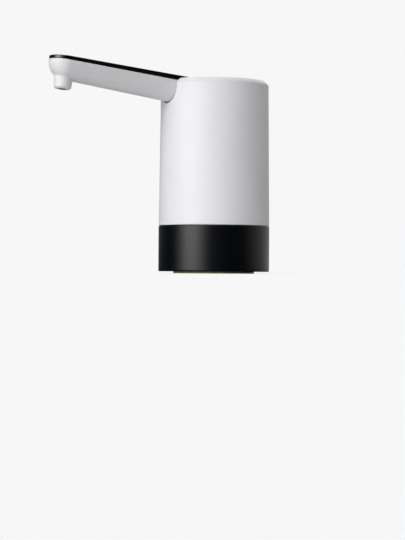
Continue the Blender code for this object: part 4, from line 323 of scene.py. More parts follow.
# The eye sees pale paper all round, gloss sees it where it hangs, and dull faces get the room's soft light.
direction = addNode(tree, "TexCoord").outputs["Generated"]
room = levelTowards(tree, direction, studio["roomSide"], studio["roomFrom"], studio["roomLevel"])
sheet = levelTowards(tree, direction, studio["sheetSide"], studio["sheetFrom"], studio["sheetLevel"])
rays = addNode(tree, "LightPath").outputs
inGloss = addNode(tree, "Math", {0: rays["Is Glossy Ray"], 1: sheet}, operation="MULTIPLY")
seen = addNode(tree, "Math", {0: rays["Is Camera Ray"], 1: rays["Is Transmission Ray"]}, operation="MAXIMUM")
paper = addNode(tree, "Math", {0: seen.outputs[0], 1: studio["paper"]}, operation="MULTIPLY")
around = addNode(tree, "Math", {0: inGloss.outputs[0], 1: room}, operation="MAXIMUM")
level = addNode(tree, "Math", {0: paper.outputs[0], 1: around.outputs[0]}, operation="MAXIMUM")
tree.links.new(level.outputs[0], tree.nodes["Background"].inputs["Strength"])
tree.nodes["Background"].inputs["Color"].default_value = (1, 1, 1, 1)


def addSun(name, side, rise, spread, strength):
    side, rise = math.radians(side), math.radians(rise)
    lampData = bpy.data.lights.new(name, "SUN")
    lampData.energy = strength
    lampData.angle = math.radians(spread)
    lamp = bpy.data.objects.new(name, lampData)
    level = back * math.cos(side) + right * math.sin(side)
    towards = level * math.cos(rise) + Vector((0, 0, math.sin(rise)))
    lamp.rotation_euler = towards.to_track_quat("Z", "Y").to_euler()
    bpy.context.scene.collection.objects.link(lamp)


for name, values in lamps.items():
    addSun(name, **values)

# The floor glows a little to the eye alone, so that it meets the paper and keeps the object's shadow.
floorShape = bmesh.new()
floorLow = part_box("neck_seal")[0].z - studio["floorDrop"]
bmesh.ops.create_circle(floorShape, cap_ends=True, radius=studio["floorRadius"], segments=96)
bmesh.ops.translate(floorShape, vec=(0, 0, floorLow), verts=floorShape.verts)
floor = closeShape("paperFloor", floorShape)
if floor.data.polygons[0].normal.z < 0:
    floor.data.flip_normals()
floorPaper = bpy.data.materials.new("matteStudioPaper")
floorPaper.use_nodes = True
tree = floorPaper.node_tree
tree.nodes.remove(tree.nodes["Principled BSDF"])
rays = addNode(tree, "LightPath").outputs
surface = addNode(tree, "NewGeometry").outputs
outwards = addNode(tree, "VectorMath", {0: surface["Position"]}, operation="NORMALIZE")
sheet = levelTowards(
    tree, outwards.outputs["Vector"], studio["sheetSide"], studio["sheetFrom"], studio["sheetLevel"]
)
seen = addNode(tree, "Math", {0: rays["Is Camera Ray"], 1: rays["Is Transmission Ray"]}, operation="MAXIMUM")
glow = addNode(tree, "Math", {0: seen.outputs[0], 1: studio["floorGlow"]}, operation="MULTIPLY")
lit = addNode(tree, "BsdfDiffuse", {"Color": linear(studio["floorColour"])})
shown = addNode(tree, "Emission", {"Strength": glow.outputs[0]})
seenLit = addNode(tree, "AddShader", {0: lit.outputs[0], 1: shown.outputs[0]})
inGloss = addNode(tree, "Emission", {"Strength": sheet})
choice = {"Fac": rays["Is Glossy Ray"], 1: seenLit.outputs[0], 2: inGloss.outputs[0]}
both = addNode(tree, "MixShader", choice)
# From below the paper is clear, so that the underside can be looked at, and the lamp under it
# shines through.
passed = addNode(tree, "Math", {0: surface["Backfacing"], 1: rays["Is Shadow Ray"]}, operation="MAXIMUM")
clear = addNode(tree, "BsdfTransparent")
oneSided = addNode(tree, "MixShader", {"Fac": passed.outputs[0], 1: both.outputs[0], 2: clear.outputs[0]})
tree.links.new(oneSided.outputs[0], tree.nodes["Material Output"].inputs["Surface"])
floor.data.materials.append(floorPaper)
print("studio ready")


# Materials


def finishSurface(tree, shader, finish, relief, shade=None, gloss=None, reach=(0.3, 0.7), span=(0.0, 1.0)):
    # The relief, the shade and the gloss each follow the pattern that is given for them.
    if shade is not None:
        stops = ((reach[0], finish["shade"]), (reach[1], finish["colour"]))
        ramp = addNode(tree, "ValToRGB", {"Fac": shade}, stops=stops)
        tree.links.new(ramp.outputs["Color"], shader.inputs["Base Color"])
    if gloss is not None:
        limits = {"Value": gloss, "From Min": span[0], "From Max": span[1]}
        limits["To Min"] = finish["roughness"] - finish["uneven"]
        limits["To Max"] = finish["roughness"] + finish["uneven"]
        tree.links.new(addNode(tree, "MapRange", limits).outputs["Result"], shader.inputs["Roughness"])
    raised = {"Height": relief, "Strength": finish["strength"], "Distance": finish["relief"]}
    tree.links.new(addNode(tree, "Bump", raised).outputs["Normal"], shader.inputs["Normal"])


def mouldedPlastic(name, **finish):
    # An injection-moulded plastic: the mould's fine grain in relief and gloss, and a slow drift of shade.
    material, tree, shader, place = startMaterial(name, finish)
    grain = addNode(tree, "TexNoise", {"Vector": place, "Scale": 1 / finish["grain"], "Detail": 3.0})
    drift = addNode(tree, "TexNoise", {"Vector": place, "Scale": 1 / finish["drift"], "Detail": 2.0})
    marks = grain.outputs["Fac"]
    finishSurface(tree, shader, finish, relief=marks, shade=drift.outputs["Fac"], gloss=marks)
    return material


def castRubber(name, **finish):
    # Silicone or rubber from a bead-blasted mould: a soft dull skin with fine pits, paler and a little
    # shinier where it blooms.
    material, tree, shader, place = startMaterial(name, finish)
    shader.inputs["Subsurface Weight"].default_value = finish["glowThrough"]
    shader.inputs["Subsurface Scale"].default_value = finish["glowDepth"]
    pits = addNode(tree, "TexVoronoi", {"Vector": place, "Scale": 1 / finish["grain"]})
    clouds = addNode(tree, "TexNoise", {"Vector": place, "Scale": 1 / finish["drift"], "Detail": 4.0})
    bloom = clouds.outputs["Fac"]
    relief = pits.outputs["Distance"]
    finishSurface(tree, shader, finish, relief=relief, shade=bloom, gloss=bloom, reach=(0.35, 0.7))
    return material


def rolledMetal(name, **finish):
    # Metal with the marks of its making along one axis: drawn wire, rolled sheet or a turned face.
    material, tree, shader, place = startMaterial(name, finish)
    stretch = addNode(tree, "Mapping", {"Vector": place, "Scale": finish["stretch"]}).outputs[0]
    scratches = addNode(tree, "TexNoise", {"Vector": stretch, "Scale": 1 / finish["grain"], "Detail": 4.0})
    stain = addNode(tree, "TexNoise", {"Vector": place, "Scale": 1 / finish["drift"], "Detail": 3.0})
    marks = scratches.outputs["Fac"]
    finishSurface(tree, shader, finish, relief=marks, shade=stain.outputs["Fac"], gloss=marks)
    return material


def woundCopper(name, **finish):
    # Enamelled copper wire laid turn on turn: ridges a wire's width apart in relief, with painted shade in
    # the grooves between turns and the ridge tops painted lighter.
    material, tree, shader, place = startMaterial(name, finish)
    phaseRate = 20  # radians of a band for each unit of the wave texture's scale
    laid = {"Vector": place, "Distortion": 0.6, "Detail": 1.0}
    laid["Scale"] = 2 * math.pi / (finish["wire"] * phaseRate)
    bands = addNode(tree, "TexWave", laid, wave_type="BANDS", bands_direction="DIAGONAL")
    turns = bands.outputs["Fac"]
    # The same bands drive the relief and the painted shade between the turns.
    finishSurface(tree, shader, finish, relief=turns, shade=turns, reach=(0.1, 0.8))
    return material


def maskedBoard(name, **finish):
    # Green solder mask over etched tracks, which show as a paler green a little proud of the rest.
    material, tree, shader, place = startMaterial(name, finish)
    tracks = addNode(
        tree,
        "TexBrick",
        {
            "Vector": place,
            "Color1": linear(finish["shade"]),
            "Color2": linear(finish["colour"]),
            "Mortar": linear(finish["track"]),
            "Scale": 1 / finish["pitch"],
            "Mortar Size": 0.06,
            "Brick Width": 2.4,
            "Row Height": 1.0,
        },
        offset=0.35,
    )
    weave = addNode(tree, "TexNoise", {"Vector": place, "Scale": 1 / finish["grain"], "Detail": 2.0})
    tree.links.new(tracks.outputs["Color"], shader.inputs["Base Color"])
    finishSurface(tree, shader, finish, relief=tracks.outputs["Fac"], gloss=weave.outputs["Fac"])
    return material


def polishedBlack(name, **finish):
    # Black acrylic from a polished mould: a hard clear gloss with faint wiping marks and dust-fine specks.
    material, tree, shader, place = startMaterial(name, finish)
    shader.inputs["Coat Weight"].default_value = finish["coat"]
    shader.inputs["Coat Roughness"].default_value = finish["coatRoughness"]
    along = addNode(tree, "Mapping", {"Vector": place, "Scale": finish["stretch"]}).outputs[0]
    wipes = addNode(tree, "TexNoise", {"Vector": along, "Scale": 1 / finish["grain"], "Detail": 5.0})
    specks = addNode(tree, "TexNoise", {"Vector": place, "Scale": 1 / finish["drift"], "Detail": 2.0})
    marks, dust = wipes.outputs["Fac"], specks.outputs["Fac"]
    limits = (0.35, 0.7)
    finishSurface(tree, shader, finish, relief=marks, shade=dust, gloss=marks, reach=limits, span=limits)
    return material


# Grain is the size of the surface's fine marks and drift that of its slow change of shade. The real
# grain of these mouldings is about 0.1 mm, and is drawn three to four times as coarse to show at all.
# A negative unevenness makes a surface shinier, not duller, where its pattern is strong.
whiteAbs = mouldedPlastic(
    "glossMouldedAbsWhite",  # bright white whose soft sheen fades slowly round the body
    colour="#F0F0F2", shade="#ECECEE", roughness=0.40, uneven=0.05, ior=1.53,
    grain=0.45 * mm, drift=22 * mm, relief=0.010 * mm, strength=0.35,
)
insertAbs = mouldedPlastic(
    "satinMouldedAbsWhite",  # a little duller and warmer, so that the insert reads as its own piece
    colour="#E9E9E6", shade="#E2E2DE", roughness=0.42, uneven=0.06, ior=1.53,
    grain=0.35 * mm, drift=8 * mm, relief=0.012 * mm, strength=0.4,
)
blackAbs = mouldedPlastic(
    "satinMouldedAbsBlack",  # deep black with one broad soft highlight
    colour="#080A0E", shade="#06080B", roughness=0.24, uneven=0.03, ior=1.53,
    grain=0.40 * mm, drift=18 * mm, relief=0.006 * mm, strength=0.25,
)
buttonAbs = mouldedPlastic(
    "sparkErodedAbsBlack",  # dull and finely pitted, against the gloss round it
    colour="#1A1A1C", shade="#131315", roughness=0.46, uneven=0.08, ior=1.53,
    grain=0.30 * mm, drift=5 * mm, relief=0.030 * mm, strength=0.6,
)
acetal = mouldedPlastic(
    "mouldedAcetalNatural",  # milky and a little waxy
    colour="#E2E2D8", shade="#D6D6CB", roughness=0.40, uneven=0.07, ior=1.48,
    grain=0.50 * mm, drift=6 * mm, relief=0.012 * mm, strength=0.4,
)
gearAcetal = mouldedPlastic(
    "mouldedGearAcetal",  # whiter and smoother, as meshing gears are
    colour="#EEEEE4", shade="#E3E3D8", roughness=0.34, uneven=0.06, ior=1.48,
    grain=0.35 * mm, drift=3 * mm, relief=0.008 * mm, strength=0.4,
)
nylonBlack = mouldedPlastic(
    "glassFilledNylonBlack",  # grey black, dull where the glass reaches the skin
    colour="#2A2A2C", shade="#202022", roughness=0.55, uneven=0.10, ior=1.53,
    grain=0.35 * mm, drift=4 * mm, relief=0.020 * mm, strength=0.6,
)
componentEpoxy = mouldedPlastic(
    "mouldedEpoxyBlack",  # flat black with a fine even grain
    colour="#1C1C1E", shade="#161618", roughness=0.50, uneven=0.08, ior=1.55,
    grain=0.20 * mm, drift=2 * mm, relief=0.010 * mm, strength=0.5,
)
leadRed = mouldedPlastic(
    "extrudedPvcRed",  # a strong red with a soft shine
    colour="#B3161B", shade="#9C1116", roughness=0.42, uneven=0.08, ior=1.53,
    grain=0.40 * mm, drift=4 * mm, relief=0.010 * mm, strength=0.5,
)
leadBlack = mouldedPlastic(
    "extrudedPvcBlack",  # the same skin in black
    colour="#1B1B1C", shade="#141415", roughness=0.44, uneven=0.08, ior=1.53,
    grain=0.40 * mm, drift=4 * mm, relief=0.010 * mm, strength=0.5,
)
cellWrap = mouldedPlastic(
    "shrunkPvcSleeveBlue",  # a tight blue film with slight ripples
    colour="#2B5FA8", shade="#234F8F", roughness=0.30, uneven=0.08, ior=1.54,
    grain=1.60 * mm, drift=14 * mm, relief=0.050 * mm, strength=0.4,
)
ferrite = mouldedPlastic(
    "sinteredFerrite",  # dark grey, rough and stony
    colour="#47474A", shade="#37373A", roughness=0.62, uneven=0.10, ior=2.0,
    grain=0.25 * mm, drift=3 * mm, relief=0.020 * mm, strength=0.7,
)
guidePlastic = mouldedPlastic(
    "frostedPolycarbonate",  # pale and frosted, so that it shows as a ring
    colour="#D5DDE2", shade="#C9D3DA", roughness=0.32, uneven=0.06, ior=1.58,
    grain=0.30 * mm, drift=3 * mm, relief=0.010 * mm, strength=0.4,
)
lampResin = mouldedPlastic(
    "castPhosphorResin",  # pale yellow, as phosphor is when unlit
    colour="#EDE7B4", shade="#E4DA94", roughness=0.25, uneven=0.05, ior=1.5,
    grain=0.15 * mm, drift=0.8 * mm, relief=0.006 * mm, strength=0.4,
)
neckSilicone = castRubber(
    "castSiliconePaleYellow",  # pale yellow and soft, with light let in a little way
    colour="#E0E0AB", shade="#D6D69C", roughness=0.45, uneven=-0.08, ior=1.41,
    glowThrough=0.25, glowDepth=1.5 * mm,
    grain=0.35 * mm, drift=6 * mm, relief=0.015 * mm, strength=0.5,
)
coverRubber = castRubber(
    "castRubberWhite",  # nearly the body's white, but dull
    colour="#E7E7E8", shade="#DFDFE1", roughness=0.58, uneven=-0.07, ior=1.45,
    glowThrough=0.10, glowDepth=0.6 * mm,
    grain=0.30 * mm, drift=5 * mm, relief=0.015 * mm, strength=0.5,
)
sealRubber = castRubber(
    "castNitrileBlack",  # plain dull black
    colour="#262627", shade="#1D1D1E", roughness=0.55, uneven=-0.10, ior=1.52,
    glowThrough=0.0, glowDepth=0.1 * mm,
    grain=0.25 * mm, drift=2 * mm, relief=0.010 * mm, strength=0.5,
)
hoseSilicone = castRubber(
    "extrudedSiliconeClear",  # cloudy, and brighter where light gets in
    colour="#E4E5E2", shade="#D9DBD8", roughness=0.30, uneven=-0.06, ior=1.41,
    glowThrough=0.40, glowDepth=1.5 * mm,
    grain=0.50 * mm, drift=8 * mm, relief=0.010 * mm, strength=0.5,
)
steel = rolledMetal(
    "rolledSteel",  # bright, with marks that run one way
    colour="#C3C3C2", shade="#B0B0AE", roughness=0.30, uneven=0.08, metallic=1.0,
    grain=0.30 * mm, drift=5 * mm, relief=0.006 * mm, strength=0.4, stretch=(1.0, 1.0, 0.08),
)
screwZinc = rolledMetal(
    "zincPlatedSteel",  # cold and bright with a faint mottle
    colour="#C6C8CC", shade="#A9ADB2", roughness=0.28, uneven=0.08, metallic=1.0,
    grain=0.20 * mm, drift=1.5 * mm, relief=0.006 * mm, strength=0.4, stretch=(1.0, 1.0, 1.0),
)
nickel = rolledMetal(
    "rolledNickelStrip",  # a warmer grey than steel
    colour="#C9C4BB", shade="#B5AFA4", roughness=0.26, uneven=0.08, metallic=1.0,
    grain=0.25 * mm, drift=3 * mm, relief=0.005 * mm, strength=0.4, stretch=(1.0, 0.1, 1.0),
)
copper = woundCopper(
    "enamelledCopperWire",  # orange ridges, with painted shade in the lines between turns
    colour="#C4713C", shade="#7E3F1C", roughness=0.30, metallic=1.0,
    wire=0.35 * mm, relief=0.175 * mm, strength=0.7,
)
board = maskedBoard(
    "solderMaskGreen",  # deep green with paler tracks
    colour="#1F6B3C", shade="#1B6036", track="#3C8F59", roughness=0.38, uneven=0.06,
    ior=1.55, pitch=1.27 * mm, grain=0.40 * mm, relief=0.03 * mm, strength=0.5,
)
stripAcrylic = polishedBlack(
    "polishedAcrylicBlack",  # black that mirrors, with faint wiping marks
    colour="#08080A", shade="#050506", roughness=0.17, uneven=0.04, ior=1.49,
    grain=0.60 * mm, drift=0.9 * mm, relief=0.002 * mm, strength=0.1,
    coat=0.6, coatRoughness=0.05, stretch=(0.06, 1.0, 1.0),
)

finishes = {
    "white_shell": whiteAbs,
    "white_insert": insertAbs,
    "black_ring": blackAbs,
    "black_strip": stripAcrylic,
    "black_button": buttonAbs,
    "light_guide": guidePlastic,
    "neck_rubber": neckSilicone,
    "cover_rubber": coverRubber,
    "pump_plastic": acetal,
    "gear_plastic": gearAcetal,
    "seal_rubber": sealRubber,
    "hose_silicone": hoseSilicone,
    "steel": steel,
    "screw_steel": screwZinc,
    "ferrite": ferrite,
    "copper": copper,
    "bell_plastic": nylonBlack,
    "cell_wrap": cellWrap,
    "cradle_plastic": nylonBlack,
    "nickel": nickel,
    "board_green": board,
    "component_black": componentEpoxy,
    "plunger_plastic": acetal,
    "lamp": lampResin,
    "lead_red": leadRed,
    "lead_black": leadBlack,
}
for subpart in frame["record"]["subparts"]:
    for holder in frame["nodes"][subpart["node"]].material_slots:
        holder.material = finishes[subpart["material_slot"]]
print("materials ready")


# The spout arm's own frame: tilted up towards -X, with its flat top at zero

arm = metres(
    origin=103.2,  # where the flat top meets the body's axis
    reach=105.5,  # to the nozzle's axis
    half=10.0,
    strip=(3.45, 2.28),  # thickness at the body's axis and at the nozzle
    depth=(13.9, 11.5), wall=1.6, root=20.0, seam=0.10, edge=0.40, saddleGap=0.45, saddleEase=0.25,
    saddleDrop=0.55,  # widens the seam under the arm, where it shows darkest
    saddleEnd=44, rootGap=0.3, earSpan=(-16.5, -13.5), earHole=(1.5, -18, -12),
) | {
    "tilt": math.radians(6.0),
    "power": 2.4,
    "cornerShares": ((1.0, 0.0), (0.62, 0.08), (0.29, 0.29), (0.08, 0.62)),  # of the edge, inwards and down
    "ear": {"near": 21.3 * mm, "far": 26.7 * mm, "inner": 3 * mm, "outer": 14.6 * mm, "corner": 0.8 * mm},
}
armTurn = Matrix.Translation((0, 0, arm["origin"])) @ Matrix.Rotation(arm["tilt"], 4, "Y")


def armSection(along):
    share = along / arm["reach"]
    return [a + (b - a) * share for a, b in (arm["strip"], arm["depth"])]


def armRow(along, scale, inset, drop, edge, rise, count):
    # One section across the arm: a flat top with eased edges over a round flank
    strip, depth = armSection(along)
    half = (arm["half"] - inset) * scale
    deep = (depth - inset - drop) * scale
    ease = edge * scale
    start = math.asin(min(1.0, (ease / max(deep, ease + 1e-9)) ** (arm["power"] / 2))) if ease else 0.0
    row = []
    for i in range(count + 1):
        angle = start + (math.pi - 2 * start) * i / count
        across = math.copysign(abs(math.cos(angle)) ** (2 / arm["power"]), math.cos(angle))
        down = max(0.0, math.sin(angle)) ** (2 / arm["power"])
        row.append((half * across, -strip - drop - deep * down))
    if ease:
        corner = [(half - a * ease, -strip - drop - b * ease) for a, b in arm["cornerShares"]]
        row = corner + row + [(-y, z) for y, z in reversed(corner)]
    elif rise:
        row = [(half, rise)] + row + [(-half, rise)]
    return row


def armBody(name, start, end, inset=0.0, drop=0.0, edge=0.0, rise=0.0, rounded=True, count=64, turns=28):
    # Sections from the root outwards, and then the ball end, whose sections shrink along a circle
    places = [(start + (end - start) * i / 6, 1.0) for i in range(7)]
    for i in range(1, turns if rounded else 0):
        angle = math.pi / 2 * i / turns
        places.append((end + (arm["half"] - inset) * math.sin(angle), math.cos(angle)))
    shape = bmesh.new()
    rows = []
    for along, scale in places:
        row = armRow(along, scale, inset, drop, edge, rise, count)
        rows.append([shape.verts.new((-along, y, z)) for y, z in row])
    joinRows(shape, rows, len(rows[0]))
    shape.faces.new(rows[0])
    if rounded and not rise:
        last = end + arm["half"] - inset
        tip = shape.verts.new((-last, 0, -armSection(last)[0] - drop))
        for i in range(len(rows[-1])):
            shape.faces.new((rows[-1][i], rows[-1][(i + 1) % len(rows[-1])], tip))
    else:
        shape.faces.new(rows[-1])
    return closeShape(name, shape, armTurn)


def armSaddle(name, **more):
    # What the arm's root needs cut away for it, with its gap all round
    start = arm["root"] - arm["rootGap"]
    return armBody(name, start, arm["saddleEnd"], inset=-arm["saddleGap"], rounded=False, **more)


def underside(along, across):
    # The arm's lower face under a point of its plan
    strip, depth = armSection(along)
    beyond = max(0.0, along - arm["reach"]) / arm["half"]
    shrink = math.sqrt(max(0.0, 1 - beyond ** 2))
    share = min(1.0, abs(across) / (arm["half"] * shrink))
    deep = (depth - arm["seam"]) * shrink
    return -strip - arm["seam"] - deep * (1 - share ** arm["power"]) ** (1 / arm["power"])


# Body shell

shell = metres(
    footRadius=35.4, topRadius=34.45, foot=12.3, top=101.88, wall=2.0, footEase=0.6, topEase=0.08,
    snapDrop=3.9, snapHalf=1.2, snapDeep=0.45, bossCircle=31.0, bossRadius=3.0, boss=(15.6, 29.6),
    bossBore=1.5, bossRoof=1, ledge=(22.5, 32.3, 7.0, 1.8, 21.0, 25.7), ledgeCorner=0.4, pinAway=24.8,
    pin=(24.7, 28.4),
)
pins = metres(radius=0.9, head=1.7, headHeight=0.9)  # moulded, and melted over the boards
port = metres(
    floor=33.4,  # how far out the recess's floor lies
    level=29.1, halfWidth=8.3, low=18.0, high=34.4, corner=1.6, pad=(10.0, 16.5, 36.0, 2.2), padProud=0.3,
    mouth=(5.0, 1.95, 1.5),
    cut=(28, 40),  # how far in and out the wall's openings are cut
    pegRadius=1.5, peg=19.9, pegPin=(1.2, 3.4, 0.4), hinge=(34.6, 22.9), hingeRadius=0.9, hingeInset=0.2,
    hingeEase=0.35, stub=(4.2, 0.95, 0.8), stubSpan=(31.8, 34.1), coverGap=0.3, coverHalf=8.0, coverTop=34.1,
    anchor=(18.3, 21.5), proud=0.3, ease=0.35,
)
boltAngles = (30.0, 150.0, 270.0)


def onCircle(radius, degrees):
    return radius * math.cos(math.radians(degrees)), radius * math.sin(math.radians(degrees))


def roundedBar(halfWidth, halfHeight, corner, middle=0.0):
    # A rectangle with rounded corners, across and upwards
    points = [
        (-halfWidth, middle - halfHeight), (halfWidth, middle - halfHeight),
        (halfWidth, middle + halfHeight), (-halfWidth, middle + halfHeight),
    ]
    return softened(points, corner, closed=True, steps=8)


def makeBody():
    inner = shell["footRadius"] - shell["wall"], shell["topRadius"] - shell["wall"]
    ease = shell["footEase"]
    foot = softened(
        [
            (shell["footRadius"], shell["foot"] + 2 * ease),
            (shell["footRadius"], shell["foot"]),
            (shell["footRadius"] - 2 * ease, shell["foot"]),
        ],
        ease,
        steps=6,
    )
    snap = shell["top"] - shell["snapDrop"]
    profile = [
        (shell["topRadius"] - shell["topEase"], shell["top"]),
        (shell["topRadius"], shell["top"] - shell["topEase"]),
        *foot,
        (inner[0], shell["foot"]),
        (inner[1], snap - shell["snapHalf"]),
        (inner[1] + shell["snapDeep"], snap),
        (inner[1], snap + shell["snapHalf"]),
        (inner[1], shell["top"]),
    ]
    body = turned("bodyShell", profile, steps=192, closed=True)
    padHalf, padLow, padHigh, padDepth = port["pad"]
    pad = [(-padHalf, padLow), (padHalf, padLow), (padHalf, padHigh), (-padHalf, padHigh)]
    added = [extruded("pad", pad, port["floor"] - padDepth, port["floor"] + port["padProud"], outOfBack)]
    removed = []
    low, high = shell["boss"]
    for i, angle in enumerate(boltAngles):
        x, y = onCircle(shell["bossCircle"], angle)
        added.append(rod(f"boss{i}", shell["bossRadius"], x, y, low, high))
        removed.append(rod(f"bossBore{i}", shell["bossBore"], x, y, low - overrun, high - shell["bossRoof"]))
    near, far, aside, half, low, high = shell["ledge"]
    pinLow, pinHigh = shell["pin"]
    for side in (-1, 1):
        y = side * aside
        added.append(slab(f"ledge{side}", (near, y - half, low), (far, y + half, high), shell["ledgeCorner"]))
        added.append(rod(f"pin{side}", pins["radius"], shell["pinAway"], y, pinLow, pinHigh))
        headLow = pinHigh - pins["headHeight"]
        added.append(rod(f"pinHead{side}", pins["head"], shell["pinAway"], y, headLow, pinHigh))
    middle, half = (port["high"] + port["low"]) / 2, (port["high"] - port["low"]) / 2
    recess = roundedBar(port["halfWidth"], half, port["corner"], middle)
    inside, outside = port["cut"]
    removed.append(extruded("recess", recess, port["floor"], outside, outOfBack))
    removed.append(extruded("mouth", roundedBar(*port["mouth"], port["level"]), inside, outside, outOfBack))
    removed.append(rod("pegHole", port["pegRadius"], 0, port["peg"], inside, outside, turn=outOfBack))
    saddle = armSaddle("saddle", rise=arm["half"])
    saddle.data.transform(Matrix.Translation((0, 0, -arm["saddleDrop"])))
    shapeWith(body, "UNION", *added)
    shapeWith(body, "DIFFERENCE", *removed, saddle)
    easeEdges(body, arm["saddleEase"])
    return dress(body, [whiteAbs], "body_shell")


makeBody()
print("body shell made")


# Lid

lid = metres(
    rim=101.93, top=104.9, topRadius=31.4, edgeRadius=34.45, rimInset=0.05, bulge=0.3, edgeEase=0.35,
    ease=0.15, thickness=2.2, skirt=(32.15, 30.75), skirtLow=94.9, snap=97.9, snapHalf=0.9, snapRise=0.45,
    pocketFloor=-3.75, pocketWall=1.6, pocketGap=0.3, pocketTop=-0.45, stripGap=0.12, stripEnd=40,
    buttonHole=7.3, buttonHoleDrop=3, ear=(24.0, 12.0), earBoss=(2.6, -13.2, -2.2),
    earBore=(1.5, -14.5, -6.5), boardCircle=21.5, boardBoss=(2.4, 88.3, 103.8), boardPin=(85.2, 89.3),
) | {"boardAngles": (25.0, 100.0, -100.0)}


def pocketOutline(radius, far):
    # A strip with a round end about the button, running out along the arm
    return [(-far, -radius)] + arcPoints(0, 0, radius, -90, 90, 48) + [(-far, radius)]


def makeLid():
    count = 10
    band = []
    for i in range(count + 1):
        t = i / count
        swell = lid["bulge"] * 4 * t * (1 - t)
        radius = lid["topRadius"] + (lid["edgeRadius"] - lid["topRadius"]) * t + swell
        band.append((radius, lid["top"] + (lid["rim"] - lid["top"]) * t + swell))
    outer, inner = lid["skirt"]
    under = lid["top"] - lid["thickness"]
    profile = [(0, lid["top"]), (lid["topRadius"] - lid["edgeEase"], lid["top"])] + band[1:]
    profile += [
        (lid["edgeRadius"] - lid["rimInset"], lid["rim"]),
        (outer, lid["rim"]),
        (outer, lid["snap"] + lid["snapHalf"]),
        (outer + lid["snapRise"], lid["snap"]),
        (outer, lid["snap"] - lid["snapHalf"]),
        (outer, lid["skirtLow"]),
        (inner, lid["skirtLow"]),
        (inner, under),
        (0, under),
    ]
    cap = turned("topCap", profile, steps=192)
    floorLevel, wall = lid["pocketFloor"], lid["pocketWall"]
    around = pocketOutline(arm["half"] + lid["pocketGap"] + wall, arm["root"] + wall)
    block = extruded("pocket", around, floorLevel - wall, lid["pocketTop"], armTurn)
    bosses, bores = [], []
    away, aside = lid["ear"]
    for side in (-1, 1):
        for name, made in (("earBoss", bosses), ("earBore", bores)):
            radius, low, high = lid[name]
            made.append(rod(f"{name}{side}", radius, -away, side * aside, low, high, turn=armTurn))
    radius, low, high = lid["boardBoss"]
    pinLow, pinHigh = lid["boardPin"]
    for i, angle in enumerate(lid["boardAngles"]):
        x, y = onCircle(lid["boardCircle"], angle)
        bosses.append(rod(f"boardBoss{i}", radius, x, y, low, high))
        bosses.append(rod(f"boardPin{i}", pins["radius"], x, y, pinLow, pinHigh))
        bosses.append(rod(f"boardPinHead{i}", pins["head"], x, y, pinLow, pinLow + pins["headHeight"]))
    groove = pocketOutline(arm["half"] + lid["stripGap"], lid["stripEnd"])
    recess = extruded("stripRecess", groove, floorLevel, arm["half"], armTurn)
    saddle = armSaddle("lidSaddle")
    low = floorLevel - lid["buttonHoleDrop"]
    hole = rod("buttonHole", lid["buttonHole"], 0, 0, low, overrun, steps=96, turn=armTurn)
    shapeWith(cap, "UNION", block, *bosses)
    shapeWith(cap, "DIFFERENCE", recess, saddle, hole, *bores)
    easeEdges(cap, lid["ease"])
    return dress(cap, [whiteAbs], "top_cap", sharp=30.0)


makeLid()
print("lid made")


# Spout arm with its nozzle collar

nozzle = metres(
    rootRadius=6.05, tipRadius=5.45, drop=6.0,
    lip=1.7,  # rounding of the collar's lower edge
    fillet=0.9, bore=3.95, insertRadius=3.9, outlet=2.05, inset=0.04, taperMore=4, hidden=3, tuck=(0.5, 0.8),
    boreLow=-24, insertTop=2.4, insertEase=0.1, outletEase=0.3, outletDeep=8, lining=0.25,
    barb=(2.0, 1.9, 12.8), barbWay=(1.2, 0, 14),
)


def collarRadius(level, low):
    share = (level - low) / (nozzle["drop"] + nozzle["taperMore"])
    return nozzle["tipRadius"] + (nozzle["rootRadius"] - nozzle["tipRadius"]) * max(0.0, share)


def makeCollar():
    # A round collar whose top flares into the arm's curved underside all the way round
    flat = -sum(armSection(arm["reach"]))
    bottom = flat - nozzle["drop"]
    lipLevel = bottom + nozzle["lip"]
    shape = bmesh.new()
    steps = 96
    rows = []
    low = shape.verts.new((-arm["reach"], 0, bottom))
    high = shape.verts.new((-arm["reach"], 0, flat + nozzle["hidden"]))
    for i in range(steps):
        angle = 2 * math.pi * i / steps
        out, across = math.cos(angle), math.sin(angle)
        wall = collarRadius(flat, lipLevel)
        meet = underside(arm["reach"] + wall * out, wall * across)
        flare = wall + nozzle["fillet"]
        edge = underside(arm["reach"] + flare * out, flare * across)
        start = min(meet, edge) - nozzle["fillet"]
        profile = arcPoints(nozzle["tipRadius"] - nozzle["lip"], lipLevel, nozzle["lip"], -90, 0, 8)
        for j in range(1, 5):
            level = lipLevel + (start - lipLevel) * j / 4
            profile.append((collarRadius(level, lipLevel), level))
        corner = Vector((wall, meet))
        first, last = Vector(profile[-1]), Vector((flare, edge))
        profile += bend(first, corner, last, 8)[1:]
        profile.append((flare - nozzle["tuck"][0], edge + nozzle["tuck"][1]))
        rows.append([shape.verts.new((-arm["reach"] - r * out, r * across, z)) for r, z in profile])
    for i in range(steps):
        here, there = rows[i], rows[(i + 1) % steps]
        shape.faces.new((low, here[0], there[0]))
        shape.faces.new((high, here[-1], there[-1]))
        for j in range(len(here) - 1):
            shape.faces.new((here[j], there[j], there[j + 1], here[j + 1]))
    return closeShape("collar", shape, armTurn)


